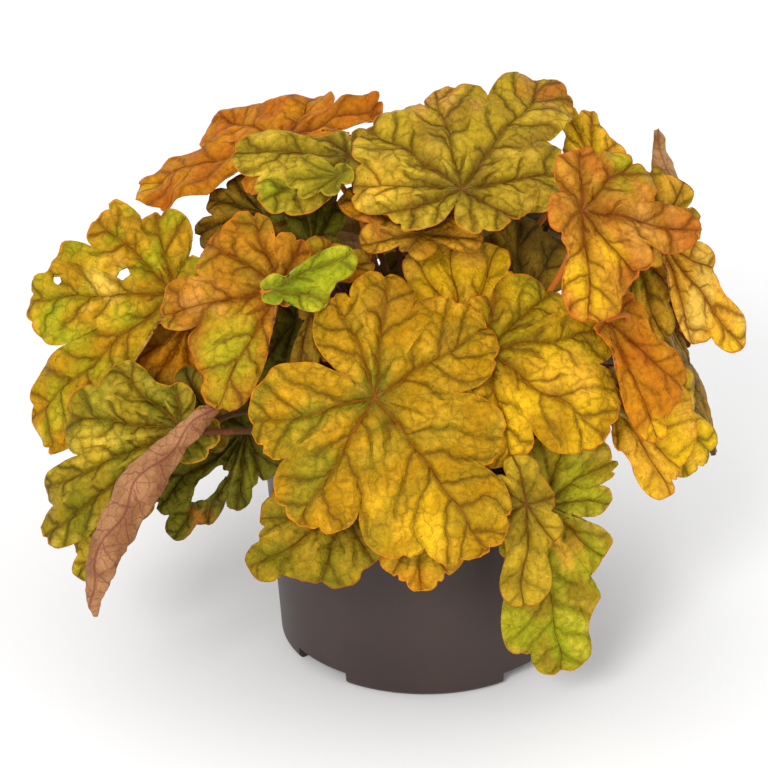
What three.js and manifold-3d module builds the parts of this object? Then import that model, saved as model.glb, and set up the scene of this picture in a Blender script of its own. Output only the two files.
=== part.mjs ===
// A heuchera plant in its round nursery pot: the pot, the compost, the woody crown with all its petioles,
// and one mesh for each leaf blade. Millimetres, +Z up, the front towards -Y. The origin is the middle of
// the pot's flat underside.
import * as THREE from 'three';
import { mergeVertices } from 'three/addons/utils/BufferGeometryUtils.js';
import Module from 'manifold-3d';

const wasm = await Module();
wasm.setup();

// Driving dimensions

const fit = 0.3; // clearance between neighbours that touch
const pot = {
  height: 91,
  rimRadius: 64,
  rimHeight: 10,
  wallTopRadius: 57,
  baseRadius: 51,
  wall: 1.6,
  floor: 2,
  ledge: 1.8,
  sides: 48,
};
const potNotch = { turns: [46, 134, 226, 314], width: 24, height: 5, depth: 9 };
const drainHole = { count: 6, radius: 4, ring: 26, sides: 16 };
const soil = { level: 82, bump: 0.7, sides: 36 };
const crown = { radius: 19, height: 13, plugRadius: 16, plugDepth: 8, sides: 28 };
const petiole = {
  radius: 1.2,
  sides: 5,
  stepLength: 16,
  footRing: 17,
  footRise: 2.5,
  footHeight: 8,
  gap: 0.35,
};
const blade = {
  thickness: 0.8,
  innerRing: 0.55, // the inner ring of points, as a share of the way to the edge
  scallop: 12.5, // arc length of one scallop
  toothDepth: 1.6,
  wave: 1.2,
  waveReach: 30, // lobes shorter than this wave less
  archReach: 40, // how far from the petiole the sheet has turned by its arch angles
};
const curlColumns = 7;

const tones = {
  gold: 0xc99a1c,
  green: 0x7f8f26,
  dark: 0x474d1c,
  orange: 0xb9691c,
  salmon: 0xc58a4e,
  olive: 0x84752a,
  lime: 0xa9b42e,
  pink: 0xb3866c,
  tan: 0xa98762,
};

const { degToRad } = THREE.MathUtils;
const vec = (x, y, z) => new THREE.Vector3(x, y, z);

// Materials

const plain = (color, roughness) => new THREE.MeshStandardMaterial({ color, roughness, metalness: 0 });
const potPlastic = () => plain(0x50423e, 0.6);
const compostMaterial = () => plain(0x2f241c, 0.95);
const petioleSkin = () => plain(0x783c28, 0.5);
const bladeSkin = (tone) => plain(tones[tone], 0.5);

// Solids that are cut or joined

function toSolid(geometry) {
  geometry.deleteAttribute('normal');
  geometry.deleteAttribute('uv');
  const merged = mergeVertices(geometry, 1e-4);
  return new wasm.Manifold(
    new wasm.Mesh({
      numProp: 3,
      vertProperties: Float32Array.from(merged.attributes.position.array),
      triVerts: Uint32Array.from(merged.index.array),
    }),
  );
}

function toGeometry(solid) {
  const { vertProperties, triVerts } = solid.getMesh();
  const geometry = new THREE.BufferGeometry();
  geometry.setAttribute('position', new THREE.BufferAttribute(vertProperties, 3));
  geometry.setIndex(new THREE.BufferAttribute(triVerts, 1));
  return geometry;
}

// A solid of revolution about the Z axis from [radius, height] points.
function turned(profile, sides) {
  const points = profile.map(([radius, z]) => new THREE.Vector2(radius, z));
  return new THREE.LatheGeometry(points, sides).rotateX(Math.PI / 2);
}

// The pot

function wallRadius(z) {
  return pot.baseRadius + ((pot.wallTopRadius - pot.baseRadius) * z) / (pot.height - pot.rimHeight);
}

const notchRoof = potNotch.height + pot.wall; // the floor is raised over the notches in the foot
const notchInner = pot.baseRadius - potNotch.depth;

function potGeometry() {
  const { height, rimRadius, wallTopRadius, baseRadius, wall, floor, ledge } = pot;
  const rimBase = height - pot.rimHeight;
  const body = turned(
    [
      [0, 0],
      [baseRadius - 2.2, 0],
      [baseRadius - 0.6, 0.9],
      [wallRadius(2.8), 2.8],
      [wallTopRadius, rimBase - 0.8],
      [wallTopRadius + 0.7, rimBase],
      [rimRadius - 0.5, rimBase],
      [rimRadius, rimBase + 0.5],
      [rimRadius + 0.4, height - 1],
      [rimRadius - 0.1, height],
      [rimRadius - 1.2, height],
      [rimRadius - wall, height - 0.8],
      [rimRadius - wall - 0.6, rimBase + ledge],
      [wallTopRadius - 0.4, rimBase + ledge],
      [wallTopRadius - wall, rimBase + 0.6],
      [wallRadius(notchRoof) - wall, notchRoof],
      [notchInner - wall, notchRoof],
      [notchInner - 2 * wall, floor],
      [0, floor],
    ],
    pot.sides,
  );
  let solid = toSolid(body);
  const depth = 2 * potNotch.depth;
  for (const turn of potNotch.turns) {
    const notch = new THREE.BoxGeometry(potNotch.width, depth, 2 * potNotch.height);
    notch.translate(0, -notchInner - depth / 2, 0).rotateZ(degToRad(turn));
    solid = solid.subtract(toSolid(notch));
  }
  for (let i = 0; i < drainHole.count; i += 1) {
    const hole = new THREE.CylinderGeometry(drainHole.radius, drainHole.radius, 4 * floor, drainHole.sides);
    hole.rotateX(Math.PI / 2).translate(drainHole.ring, 0, 0);
    hole.rotateZ((2 * Math.PI * i) / drainHole.count);
    solid = solid.subtract(toSolid(hole));
  }
  return toGeometry(solid);
}

// The compost fills the pot to just under the rim, with a low uneven top and a hole for the crown.
function compostGeometry() {
  const inner = (z) => wallRadius(z) - pot.wall - fit;
  const bottom = pot.floor + fit;
  const geometry = turned(
    [
      [0, bottom],
      [notchInner - 2 * pot.wall - 2 * fit, bottom],
      [notchInner - pot.wall - 2 * fit, notchRoof + fit],
      [inner(notchRoof), notchRoof + fit],
      [inner(soil.level - 2), soil.level - 2],
      [inner(soil.level) - 2, soil.level],
      [46, soil.level],
      [36, soil.level],
      [27, soil.level],
      [20, soil.level - fit],
      [crown.plugRadius + fit, soil.level - fit],
      [crown.plugRadius + fit, soil.level - crown.plugDepth - fit],
      [0, soil.level - crown.plugDepth - fit],
    ],
    soil.sides,
  );
  const { position } = geometry.attributes;
  for (let i = 0; i < position.count; i += 1) {
    const [x, y] = [position.getX(i), position.getY(i)];
    const radius = Math.hypot(x, y);
    if (radius < 25 || radius > 48 || position.getZ(i) < soil.level - 0.1) continue;
    const heap = Math.sin(0.37 * x + 1.3) * Math.cos(0.31 * y) + 0.6 * Math.sin(0.83 * (x - y));
    position.setZ(i, soil.level + (soil.bump * heap) / 1.6);
  }
  return geometry;
}

// Leaf blades. A blade faces a direction given by a compass angle (0 is the front, 90 the right) and an
// elevation. Its outline is a list of [clock angle, mm] seen from its face, 0 being up the slope: lobe tip,
// sinus, lobe tip, sinus and so on, clockwise, and last the notch over the petiole. The two arch angles
// bend the sheet down to its sides and down its length.

function facing([compass, elevation]) {
  const a = degToRad(compass);
  const e = degToRad(elevation);
  return vec(Math.sin(a) * Math.cos(e), -Math.cos(a) * Math.cos(e), Math.sin(e));
}

// The petiole's route is bent by a shift of its lower and, by half as much or by sway, its upper part.
function leaf(name, tone, at, face, arch, outline, { bend = [0, 0, 0], sway } = {}) {
  const normal = facing(face);
  const up = vec(0, 0, 1).addScaledVector(normal, -normal.z).normalize();
  const right = vec().crossVectors(up, normal);
  const place = vec(...at);
  const frame = new THREE.Matrix4().makeBasis(right, up, normal).setPosition(place);
  return { name: `leaf_${name}`, tone, frame, arch, outline, seat: place, seatNormal: normal, bend, sway };
}

function lobesOf(outline) {
  const points = [];
  for (const [angle, mm] of outline) {
    const last = points.length ? points.at(-1).angle : angle;
    const turns = Math.max(0, Math.ceil((last - angle) / 360));
    points.push({ angle: angle + 360 * turns, mm });
  }
  const notch = points.at(-1);
  let from = { angle: notch.angle - 360, mm: notch.mm };
  const lobes = [];
  for (let i = 0; i < points.length; i += 2) {
    const [tip, to] = [points[i], points[i + 1]];
    lobes.push({ from, tip, to });
    from = to;
  }
  return lobes;
}

// A lobe is round at its tip and steep at its sinuses; across runs from -1 to 1.
function lobeEdge({ from, tip, to }, across) {
  const side = across < 0 ? from : to;
  const share = Math.abs(across);
  return {
    angle: tip.angle + (side.angle - tip.angle) * share,
    mm: side.mm + (tip.mm - side.mm) * Math.max(Math.cos((share * Math.PI) / 2), 0) ** 0.5,
  };
}

// Each scallop starts in a valley, rises to its crest and leans on towards the next.
const scallopSteps = [
  { share: 0, rise: -1 },
  { share: 0.3, rise: 0 },
  { share: 0.7, rise: 0.35 },
];

function scallopedEdge(outline) {
  const points = [];
  for (const lobe of lobesOf(outline)) {
    const arc = degToRad(lobe.to.angle - lobe.from.angle) * lobe.tip.mm;
    const teeth = THREE.MathUtils.clamp(Math.round(arc / blade.scallop), 1, 4);
    for (let k = 0; k < teeth; k += 1) {
      for (const { share, rise } of scallopSteps) {
        const { angle, mm } = lobeEdge(lobe, -1 + (2 * (k + share)) / teeth);
        const inSinus = k === 0 && share === 0;
        points.push({ angle, mm: Math.max(inSinus ? mm : mm + rise * blade.toothDepth, 2) });
      }
    }
  }
  return points;
}

// The point of the bent sheet at a clock angle and a distance from the petiole, in the blade's own frame.
function sheetPoint([archAcross, archAlong], { angle, mm }, share) {
  const across = degToRad(archAcross) / blade.archReach;
  const along = degToRad(archAlong) / blade.archReach;
  const lift = blade.wave * Math.min(1, mm / blade.waveReach) * share ** 2 * Math.cos(degToRad(5 * angle));
  const x = across * share * mm * Math.sin(degToRad(angle));
  const y = along * share * mm * Math.cos(degToRad(angle));
  const acrossRadius = 1 / across + lift;
  const alongRadius = 1 / along + acrossRadius * Math.cos(x) - 1 / across;
  return vec(acrossRadius * Math.sin(x), alongRadius * Math.sin(y), alongRadius * Math.cos(y) - 1 / along);
}

// Closes a sheet of triangles into a blade: the same triangles below, turned round, and a rim between.
function thicken(top, faces, rim) {
  const normals = top.map(() => vec(0, 0, 0));
  for (const [a, b, c] of faces) {
    const ab = top[b].clone().sub(top[a]);
    const ac = top[c].clone().sub(top[a]);
    const area = ab.cross(ac);
    for (const i of [a, b, c]) normals[i].add(area);
  }
  const below = top.map((p, i) => p.clone().addScaledVector(normals[i].normalize(), -blade.thickness));
  const n = top.length;
  const index = [];
  for (const [a, b, c] of faces) index.push(a, b, c, n + a, n + c, n + b);
  rim.forEach((a, i) => {
    const b = rim[(i + 1) % rim.length];
    index.push(a, n + a, n + b, a, n + b, b);
  });
  const geometry = new THREE.BufferGeometry().setFromPoints([...top, ...below]);
  geometry.setIndex(index);
  return geometry;
}

function flatBladeGeometry({ arch, outline }) {
  const edge = scallopedEdge(outline);
  const scallops = edge.length / scallopSteps.length;
  const top = [vec(0, 0, 0)];
  for (let j = 0; j < scallops; j += 1) {
    top.push(sheetPoint(arch, edge[j * scallopSteps.length], blade.innerRing));
  }
  for (const point of edge) top.push(sheetPoint(arch, point, 1));
  const faces = [];
  for (let j = 0; j < scallops; j += 1) {
    const inner = 1 + j;
    const innerNext = 1 + ((j + 1) % scallops);
    const valley = 1 + scallops + j * scallopSteps.length;
    const [crest, shoulder] = [valley + 1, valley + 2];
    const valleyNext = 1 + scallops + (((j + 1) * scallopSteps.length) % edge.length);
    faces.push([0, innerNext, inner]);
    faces.push([inner, crest, valley]);
    faces.push([inner, innerNext, crest]);
    faces.push([innerNext, shoulder, crest]);
    faces.push([innerNext, valleyNext, shoulder]);
  }
  const rim = edge.map((_, i) => 1 + scallops + i).reverse();
  return thicken(top, faces, rim);
}

// A blade rolled about its length into a channel with its underside outwards. The petiole meets it a
// given angle round the roll.
function curledLeaf(name, tone, spine, halfWidths, face, rollAngle, seatAngle, { bend = [0, 0, 0] } = {}) {
  const origin = vec(...spine[1]);
  const points = spine.map((p) => vec(...p).sub(origin));
  const roll = degToRad(rollAngle);
  const rows = points.map((point, i) => {
    const before = points[Math.max(i - 1, 0)];
    const after = points[Math.min(i + 1, points.length - 1)];
    const along = after.clone().sub(before).normalize();
    const out = facing(face);
    out.addScaledVector(along, -out.dot(along)).normalize();
    const side = vec().crossVectors(along, out);
    return { point, out, side, radius: (2 * halfWidths[i]) / roll };
  });
  const { place, normal } = rollPoint(rows[1], degToRad(seatAngle));
  const frame = new THREE.Matrix4().setPosition(origin);
  return { name: `leaf_${name}`, tone, frame, rows, roll, seat: place.add(origin), seatNormal: normal, bend };
}

function rollPoint({ point, out, side, radius }, turn) {
  const normal = out.clone().multiplyScalar(Math.cos(turn)).addScaledVector(side, Math.sin(turn));
  const place = point.clone().addScaledVector(out, -radius).addScaledVector(normal, radius);
  return { place, normal };
}

function curledBladeGeometry({ rows, roll }) {
  const lastRow = rows.length - 1;
  const lastColumn = curlColumns - 1;
  const at = (i, j) => i * curlColumns + j;
  const top = rows.flatMap((row) =>
    Array.from({ length: curlColumns }, (_, j) => rollPoint(row, roll * (j / lastColumn - 0.5)).place),
  );
  const faces = [];
  for (let i = 0; i < lastRow; i += 1) {
    for (let j = 0; j < lastColumn; j += 1) {
      faces.push([at(i, j), at(i + 1, j + 1), at(i + 1, j)]);
      faces.push([at(i, j), at(i, j + 1), at(i + 1, j + 1)]);
    }
  }
  const rim = [];
  for (let j = 0; j < lastColumn; j += 1) rim.push(at(0, j));
  for (let i = 0; i < lastRow; i += 1) rim.push(at(i, lastColumn));
  for (let j = lastColumn; j > 0; j -= 1) rim.push(at(lastRow, j));
  for (let i = lastRow; i > 0; i -= 1) rim.push(at(i, 0));
  return thicken(top, faces, rim);
}

// The leaves seen from the front: name, tone, petiole end, facing, arch across and along, outline
const frontLeaves = [
  leaf('front_main', 'gold', [-17, -80, 130], [0, 32], [14, 16],
    [[338, 37], [346, 35], [4, 42], [22, 32], [56, 45], [86, 25], [106, 44], [122, 42], [143, 63],
     [162, 52], [170, 53], [188, 37], [211, 48], [236, 35], [258, 42], [305, 9]]),
  leaf('right_mid', 'gold', [19, -64, 139], [8, 36], [10, 16],
    [[345, 18], [10, 18], [48, 31], [62, 34], [84, 43], [99, 38], [124, 49], [154, 30], [178, 38],
     [205, 20], [232, 26], [300, 4]],
    { bend: [0, -22, 10], sway: [0, 0, -10] }),
  leaf('centre_yellow', 'gold', [10, -52, 138], [5, 40], [10, 12],
    [[300, 24], [322, 22], [338, 34], [348, 32], [0, 37], [14, 32], [28, 36], [38, 31], [50, 30],
     [74, 15], [110, 12], [180, 4], [250, 18], [275, 14]]),
  leaf('top_centre', 'green', [11, -44, 187], [0, 58], [14, 14],
    [[242, 24], [253, 26], [272, 36], [291, 35], [330, 45], [343, 41], [358, 48], [12, 45],
     [29, 66], [49, 37], [72, 37], [105, 24], [132, 19], [204, 3]], { bend: [16, 0, 30] }),
  leaf('under_top', 'olive', [-2, -40, 170], [0, 45], [10, 14],
    [[216, 9], [240, 9], [262, 20], [282, 18], [298, 30], [325, 16], [350, 22], [20, 14],
     [52, 18], [76, 14], [96, 20], [120, 5]],
    { bend: [-8, 8, 20], sway: [-4, 4, 18] }),
  leaf('left_upper_green', 'green', [-25, -20, 189], [-8, 66], [10, 20],
    [[234, 34], [256, 31], [275, 41], [297, 21], [316, 14], [350, 9], [20, 14], [60, 10],
     [100, 16], [190, 4]]),
  leaf('left_upper_tan', 'lime', [-28, -37, 189], [0, 50], [10, 20],
    [[218, 8], [232, 9], [244, 15], [254, 15], [270, 18], [282, 15], [296, 15], [320, 4],
     [20, 4], [180, 3]],
    { bend: [-2, 24, 30], sway: [-4, 12, 15] }),
  leaf('left_upper_orange', 'orange', [-46, 6, 185], [-60, 64], [6, 10],
    [[224, 62], [239, 37], [262, 47], [272, 40], [316, 28], [355, 15], [17, 34], [38, 14],
     [80, 26], [115, 14], [150, 26], [192, 10]]),
  leaf('centre_left', 'orange', [-48, -56, 158], [-8, 38], [14, 24],
    [[202, 45], [216, 40], [232, 36], [242, 30], [254, 42], [276, 28], [328, 30], [350, 17],
     [14, 18], [50, 6], [110, 7], [184, 5]], { bend: [0, 8, 20] }),
  leaf('centre_lime', 'lime', [-50, -61, 159], [0, 30], [10, 10],
    [[64, 29], [82, 22], [100, 18], [128, 5], [270, 4], [46, 7]],
    { bend: [30, 29, 20], sway: [-22, -26, 24] }),
  leaf('centre_orange', 'orange', [-41, -49, 158], [0, 58], [10, 10],
    [[340, 13], [0, 11], [32, 19], [52, 18], [70, 25], [95, 10], [130, 9], [250, 3], [290, 6],
     [320, 7]], { bend: [8, 8, 10] }),
  leaf('left_big', 'gold', [-83, -34, 146], [-18, 32], [14, 14],
    [[215, 74], [240, 43], [260, 59], [272, 52], [284, 48], [290, 36], [310, 43], [322, 30],
     [336, 30], [8, 13], [60, 14], [204, 8]], { bend: [0, -24, 10] }),
  leaf('left_under', 'orange', [-79, -26, 133], [-10, 30], [10, 20],
    [[180, 26], [192, 24], [205, 32], [216, 30], [230, 31], [256, 6], [330, 10], [20, 6], [80, 12],
     [140, 6]]),
  leaf('left_low', 'green', [-80, -62, 109], [-14, 30], [16, 14],
    [[209, 42], [218, 44], [228, 65], [236, 56], [243, 57], [252, 40], [272, 44], [290, 35],
     [304, 34], [320, 22], [335, 16], [20, 8], [80, 12], [196, 8]], { bend: [-8, -32, 10] }),
  leaf('left_dark', 'dark', [-60, -44, 101], [-5, 25], [10, 14],
    [[160, 18], [174, 21], [186, 28], [195, 26], [202, 36], [206, 38], [212, 46], [220, 41],
     [228, 42], [255, 8], [300, 12], [60, 4]]),
  leaf('left_dark_upper', 'dark', [-72, -53, 105], [-10, 30], [10, 14],
    [[302, 17], [318, 20], [332, 23], [350, 12], [10, 12], [60, 4], [180, 8], [240, 5]],
    { bend: [-24, 8, 0], sway: [-12, 12, 0] }),
  leaf('dark_upper_left', 'dark', [-56, 0, 161], [-10, 40], [10, 14],
    [[246, 24], [262, 17], [280, 19], [300, 15], [316, 16], [345, 10], [20, 14], [80, 8],
     [150, 12], [200, 6]], { bend: [8, -8, 0] }),
  leaf('dark_upper_mid', 'dark', [-38, -24, 158], [0, 36], [10, 14],
    [[290, 12], [315, 12], [344, 17], [354, 16], [4, 18], [16, 15], [28, 18], [60, 8], [100, 10],
     [150, 6], [200, 10], [245, 6]]),
  leaf('dark_upper_back', 'dark', [-42, -8, 168], [0, 40], [10, 14],
    [[252, 13], [270, 14], [288, 18], [310, 12], [330, 16], [0, 10], [30, 14], [120, 4], [180, 8],
     [215, 5]]),
  leaf('right_top', 'salmon', [48, -66, 189], [10, 38], [14, 18],
    [[8, 21], [24, 17], [52, 27], [86, 23], [104, 40], [122, 22], [140, 28], [162, 31], [180, 36],
     [202, 16], [226, 11], [325, 8]],
    { bend: [14, -20, -2], sway: [4, 4, 3] }),
  leaf('right_edge', 'orange', [76, -34, 165], [18, 22], [8, 10],
    [[60, 8], [98, 13], [122, 22], [134, 34], [146, 48], [155, 39], [163, 38], [173, 8], [240, 9],
     [290, 6], [330, 10], [20, 6]], { bend: [-14, -30, 0], sway: [30, 10, 18] }),
  leaf('right_back_top', 'olive', [79, -13, 161], [15, 45], [10, 14],
    [[2, 22], [16, 20], [34, 20], [60, 12], [90, 14], [140, 6], [180, 10], [230, 5], [280, 12],
     [320, 9]]),
  leaf('right_back_olive', 'olive', [68, -28, 159], [15, 30], [10, 14],
    [[140, 20], [152, 22], [166, 32], [178, 30], [190, 28], [220, 12], [240, 14], [300, 5],
     [30, 10], [90, 6]]),
  leaf('right_low_fold', 'orange', [58, -56, 146], [28, 30], [16, 14],
    [[70, 14], [116, 21], [138, 37], [156, 40], [164, 45], [180, 12], [230, 5], [270, 4],
     [320, 7], [20, 7]],
    { bend: [35, -21, 1], sway: [29, -23, 33] }),
  leaf('right_low_yellow', 'lime', [74, -42, 112], [28, 28], [12, 14],
    [[92, 19], [118, 19], [140, 32], [152, 31], [162, 31], [182, 6], [240, 8], [300, 4], [20, 10],
     [50, 8]]),
  leaf('right_low_front', 'gold', [62, -50, 114], [14, 26], [16, 14],
    [[140, 34], [148, 34], [154, 38], [168, 26], [180, 16], [190, 5], [300, 6], [60, 5]]),
  leaf('right_pale', 'olive', [61, -50, 122], [14, 20], [10, 14],
    [[142, 21], [152, 17], [162, 14], [180, 3], [320, 4], [100, 4]], { bend: [8, 0, 0] }),
  leaf('top_right_yellow', 'gold', [55, -6, 178], [8, 50], [10, 14],
    [[312, 12], [338, 18], [352, 27], [358, 23], [8, 24], [16, 21], [40, 16], [80, 8], [120, 12],
     [240, 5]], { bend: [-6, -30, -2], sway: [-18, 2, 10] }),
  leaf('right_hang', 'green', [37, -66, 84], [14, 8], [10, 6],
    [[66, 30], [80, 21], [98, 26], [115, 12], [126, 32], [148, 34], [150, 43], [160, 55],
     [172, 67], [182, 57], [187, 55], [200, 28], [214, 21], [235, 12], [290, 16], [330, 6]],
    { bend: [8, -16, 10], sway: [-4, -8, 5] }),
  leaf('right_hang_fold', 'olive', [32, -83, 93], [5, 8], [10, 6],
    [[344, 17], [20, 12], [76, 9], [110, 9], [146, 16], [160, 21], [180, 38], [200, 21], [244, 10],
     [270, 9], [300, 14], [326, 12]]),
  leaf('low_left', 'olive', [-27, -79, 88], [-5, 38], [14, 20],
    [[148, 19], [162, 21], [196, 25], [222, 30], [238, 37], [250, 31], [262, 28], [320, 4],
     [20, 6], [110, 5]], { bend: [10, -10, 30], sway: [-10, -10, -10] }),
  leaf('low_mid', 'gold', [-2, -80, 83], [5, 30], [14, 20],
    [[150, 18], [165, 19], [182, 21], [198, 19], [214, 18], [300, 4], [0, 6], [60, 4]],
    { bend: [-8, -8, 20] }),
  leaf('dark_inner_right', 'dark', [31, -31, 142], [5, 40], [10, 14],
    [[340, 25], [352, 26], [4, 28], [22, 27], [36, 26], [80, 10], [110, 16], [180, 5], [260, 16],
     [310, 12]]),
  leaf('inner_tan', 'tan', [-38, -46, 145], [0, 10], [10, 10],
    [[166, 18], [178, 20], [188, 24], [210, 4], [320, 4], [60, 4]], { bend: [16, -8, 0] }),
  leaf('dark_inner_left', 'dark', [-43, -40, 139], [0, 25], [10, 14],
    [[198, 24], [208, 22], [218, 25], [260, 8], [320, 8], [150, 6]]),
  leaf('left_low_back', 'olive', [-100, -48, 76], [-15, 20], [10, 14],
    [[208, 34], [219, 28], [229, 26], [262, 8], [320, 10], [192, 5]]),
];

// The leaves of the far side and of the middle share one outline, here as shares of the leaf's size. Each
// stands out from the crown in its own direction (0 is +X, counterclockwise) and faces outwards. The rows
// give name, tone, direction, reach, height, size, elevation and the petiole's bend.
const roundOutline = [
  [252, 0.9], [288, 0.52], [308, 0.78], [0, 0.1], [52, 0.78],
  [72, 0.52], [108, 0.9], [138, 0.62], [180, 1], [222, 0.62],
];

function farLeaf([name, tone, direction, reach, z, size, elevation, bend]) {
  const a = degToRad(direction);
  const at = [Math.round(reach * Math.cos(a)), Math.round(reach * Math.sin(a)), z];
  const outline = roundOutline.map(([angle, share]) => [angle, share * size]);
  return leaf(name, tone, at, [direction + 90, elevation], [14, 16], outline, { bend });
}

const farLeaves = [
  ['far_1', 'orange', 20, 84, 127, 34, 34],
  ['far_2', 'gold', 42, 70, 153, 34, 48],
  ['far_3', 'green', 66, 88, 127, 40, 30],
  ['far_4', 'olive', 86, 58, 155, 34, 52],
  ['far_5', 'gold', 113, 93, 119, 40, 28, [8, 0, 0]],
  ['far_6', 'orange', 140, 70, 147, 33, 44],
  ['far_7', 'green', 166, 90, 119, 36, 32, [0, 10, 6]],
  ['far_8', 'green', 30, 80, 95, 38, 14],
  ['far_9', 'olive', 80, 82, 91, 42, 10],
  ['far_10', 'gold', 130, 82, 91, 42, 12],
  ['far_11', 'green', 172, 96, 99, 34, 26],
  ['far_12', 'olive', 0, 92, 103, 34, 26],
  ['middle_1', 'green', 52, 35, 180, 30, 64],
  ['middle_2', 'olive', 116, 34, 178, 29, 66],
  ['middle_3', 'olive', 16, 48, 165, 24, 50],
  ['middle_4', 'dark', 176, 58, 143, 24, 44],
].map(farLeaf);

// Name, tone, spine, half widths along it, facing, roll angle, where the petiole meets the roll
const curledLeaves = [
  curledLeaf('left_roll', 'pink',
    [[-67, -66, 122], [-78, -74, 115], [-90, -82, 105], [-100, -88, 91], [-107, -92, 77],
     [-109, -93, 65], [-109, -92, 56]],
    [3, 8, 10, 9, 7.5, 4.5, 1.5], [-20, 10], 150, -50, { bend: [8, -38, -10] }),
  curledLeaf('right_fold_tip', 'tan',
    [[86, 2, 140], [86, 3, 152], [85, 4, 164], [81, 6, 177], [78, 7, 188]],
    [9, 9, 8, 5, 1.2], [40, 10], 120, 0, { bend: [-8, 0, 0] }),
];

const leaves = [...frontLeaves, ...farLeaves, ...curledLeaves];

// The crown: a woody dome on a short plug that stands in the compost. Every petiole grows out of the dome,
// leans outwards and meets its blade from below.

function petioleCurve({ seat, seatNormal, bend, sway = bend.map((mm) => mm / 2) }) {
  const aim = vec(seat.x, seat.y, seat.z - soil.level).normalize();
  const flat = Math.hypot(aim.x, aim.y);
  const foot = vec(petiole.footRing * aim.x, petiole.footRing * aim.y, soil.level + petiole.footRise);
  foot.z += petiole.footHeight * aim.z;
  const rise = THREE.MathUtils.clamp((seat.z - 123) / 60, -0.8, 0.8);
  const arrive = seatNormal.clone().add(vec(0, 0, rise)).normalize();
  const tilt = Math.sqrt(Math.max(0, 1 - arrive.dot(seatNormal) ** 2));
  const below = blade.thickness + petiole.gap + petiole.radius * tilt;
  const end = seat.clone().addScaledVector(seatNormal, -below);
  const span = end.distanceTo(foot);
  const leave = vec(foot.x, foot.y, 26).normalize();
  const first = foot.clone().addScaledVector(leave, 0.38 * span).add(vec(...bend));
  const second = end.clone().addScaledVector(arrive, -0.32 * span).add(vec(...sway));
  return new THREE.CubicBezierCurve3(foot, first, second, end);
}

function petioleGeometry(leafBlade) {
  const { radius, sides, stepLength } = petiole;
  const section = new THREE.Shape();
  for (let i = 0; i < sides; i += 1) {
    const a = (2 * Math.PI * i) / sides;
    const move = i ? 'lineTo' : 'moveTo';
    section[move](radius * Math.cos(a), radius * Math.sin(a));
  }
  const extrudePath = petioleCurve(leafBlade);
  const steps = THREE.MathUtils.clamp(Math.round(extrudePath.getLength() / stepLength), 4, 9);
  return new THREE.ExtrudeGeometry(section, { steps, extrudePath, bevelEnabled: false });
}

function crownGeometry() {
  const { radius, height, plugRadius, plugDepth } = crown;
  const dome = turned(
    [
      [0, soil.level - plugDepth],
      [plugRadius, soil.level - plugDepth],
      [plugRadius, soil.level + fit],
      [radius, soil.level + fit],
      [radius - 1, soil.level + 0.3 * height],
      [0.74 * radius, soil.level + 0.7 * height],
      [0.42 * radius, soil.level + 0.92 * height],
      [0, soil.level + height],
    ],
    crown.sides,
  );
  const parts = leaves.map((leafBlade) => toSolid(petioleGeometry(leafBlade)));
  return toGeometry(parts.reduce((whole, part) => whole.add(part), toSolid(dome)));
}

// Assembly

function piece(name, geometry, material) {
  const mesh = new THREE.Mesh(geometry, material);
  mesh.name = name;
  return mesh;
}

function leafMesh(leafBlade) {
  const geometry = leafBlade.rows ? curledBladeGeometry(leafBlade) : flatBladeGeometry(leafBlade);
  const mesh = piece(leafBlade.name, geometry, bladeSkin(leafBlade.tone));
  mesh.applyMatrix4(leafBlade.frame);
  return mesh;
}

const plant = new THREE.Group();
plant.add(piece('pot', potGeometry(), potPlastic()));
plant.add(piece('compost', compostGeometry(), compostMaterial()));
plant.add(piece('crown', crownGeometry(), petioleSkin()));
for (const leafBlade of leaves) plant.add(leafMesh(leafBlade));

export default plant;
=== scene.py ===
import math

import bmesh
import bpy
import numpy as np
from mathutils import Matrix, Vector


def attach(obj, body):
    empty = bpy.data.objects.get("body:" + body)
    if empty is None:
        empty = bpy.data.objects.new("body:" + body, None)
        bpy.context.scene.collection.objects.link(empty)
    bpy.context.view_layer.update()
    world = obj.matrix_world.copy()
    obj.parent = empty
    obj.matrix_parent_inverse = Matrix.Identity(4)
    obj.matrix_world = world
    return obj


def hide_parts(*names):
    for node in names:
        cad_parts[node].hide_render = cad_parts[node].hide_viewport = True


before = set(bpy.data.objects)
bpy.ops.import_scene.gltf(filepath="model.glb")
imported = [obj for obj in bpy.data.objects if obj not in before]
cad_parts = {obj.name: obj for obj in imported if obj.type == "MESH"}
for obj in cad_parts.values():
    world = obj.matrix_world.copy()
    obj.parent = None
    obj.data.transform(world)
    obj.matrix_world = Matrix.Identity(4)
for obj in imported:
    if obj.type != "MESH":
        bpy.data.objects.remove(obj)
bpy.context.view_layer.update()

# A heuchera in its nursery pot. Sizes in the dictionaries are millimetres, angles are degrees.
mm = 0.001
soilLevel = 82


def colour(rgb):
    # a display colour, 0 to 255, as the linear colour that the nodes take
    return tuple(((c / 255 + 0.055) / 1.055) ** 2.4 for c in rgb) + (1.0,)


# Helpers for the nodes of a material.

def nodesFor(name):
    material = bpy.data.materials.new(name)
    material.use_nodes = True
    tree = material.node_tree
    return material, tree, tree.nodes["Principled BSDF"]


def feed(tree, socket, value):
    if isinstance(value, bpy.types.NodeSocket):
        tree.links.new(value, socket)
    else:
        socket.default_value = value


def calc(tree, operation, *values):
    node = tree.nodes.new("ShaderNodeMath")
    node.operation = operation
    for socket, value in zip(node.inputs, values):
        feed(tree, socket, value)
    return node.outputs[0]


def times(tree, first, *others):
    for other in others:
        first = calc(tree, "MULTIPLY", first, other)
    return first


def largest(tree, first, *others):
    for other in others:
        first = calc(tree, "MAXIMUM", first, other)
    return first


def weighted(tree, *parts):
    # the sum of the values, each given with its weight
    total = 0.0
    for value, weight in parts:
        total = calc(tree, "MULTIPLY_ADD", value, weight, total)
    return total


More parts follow.
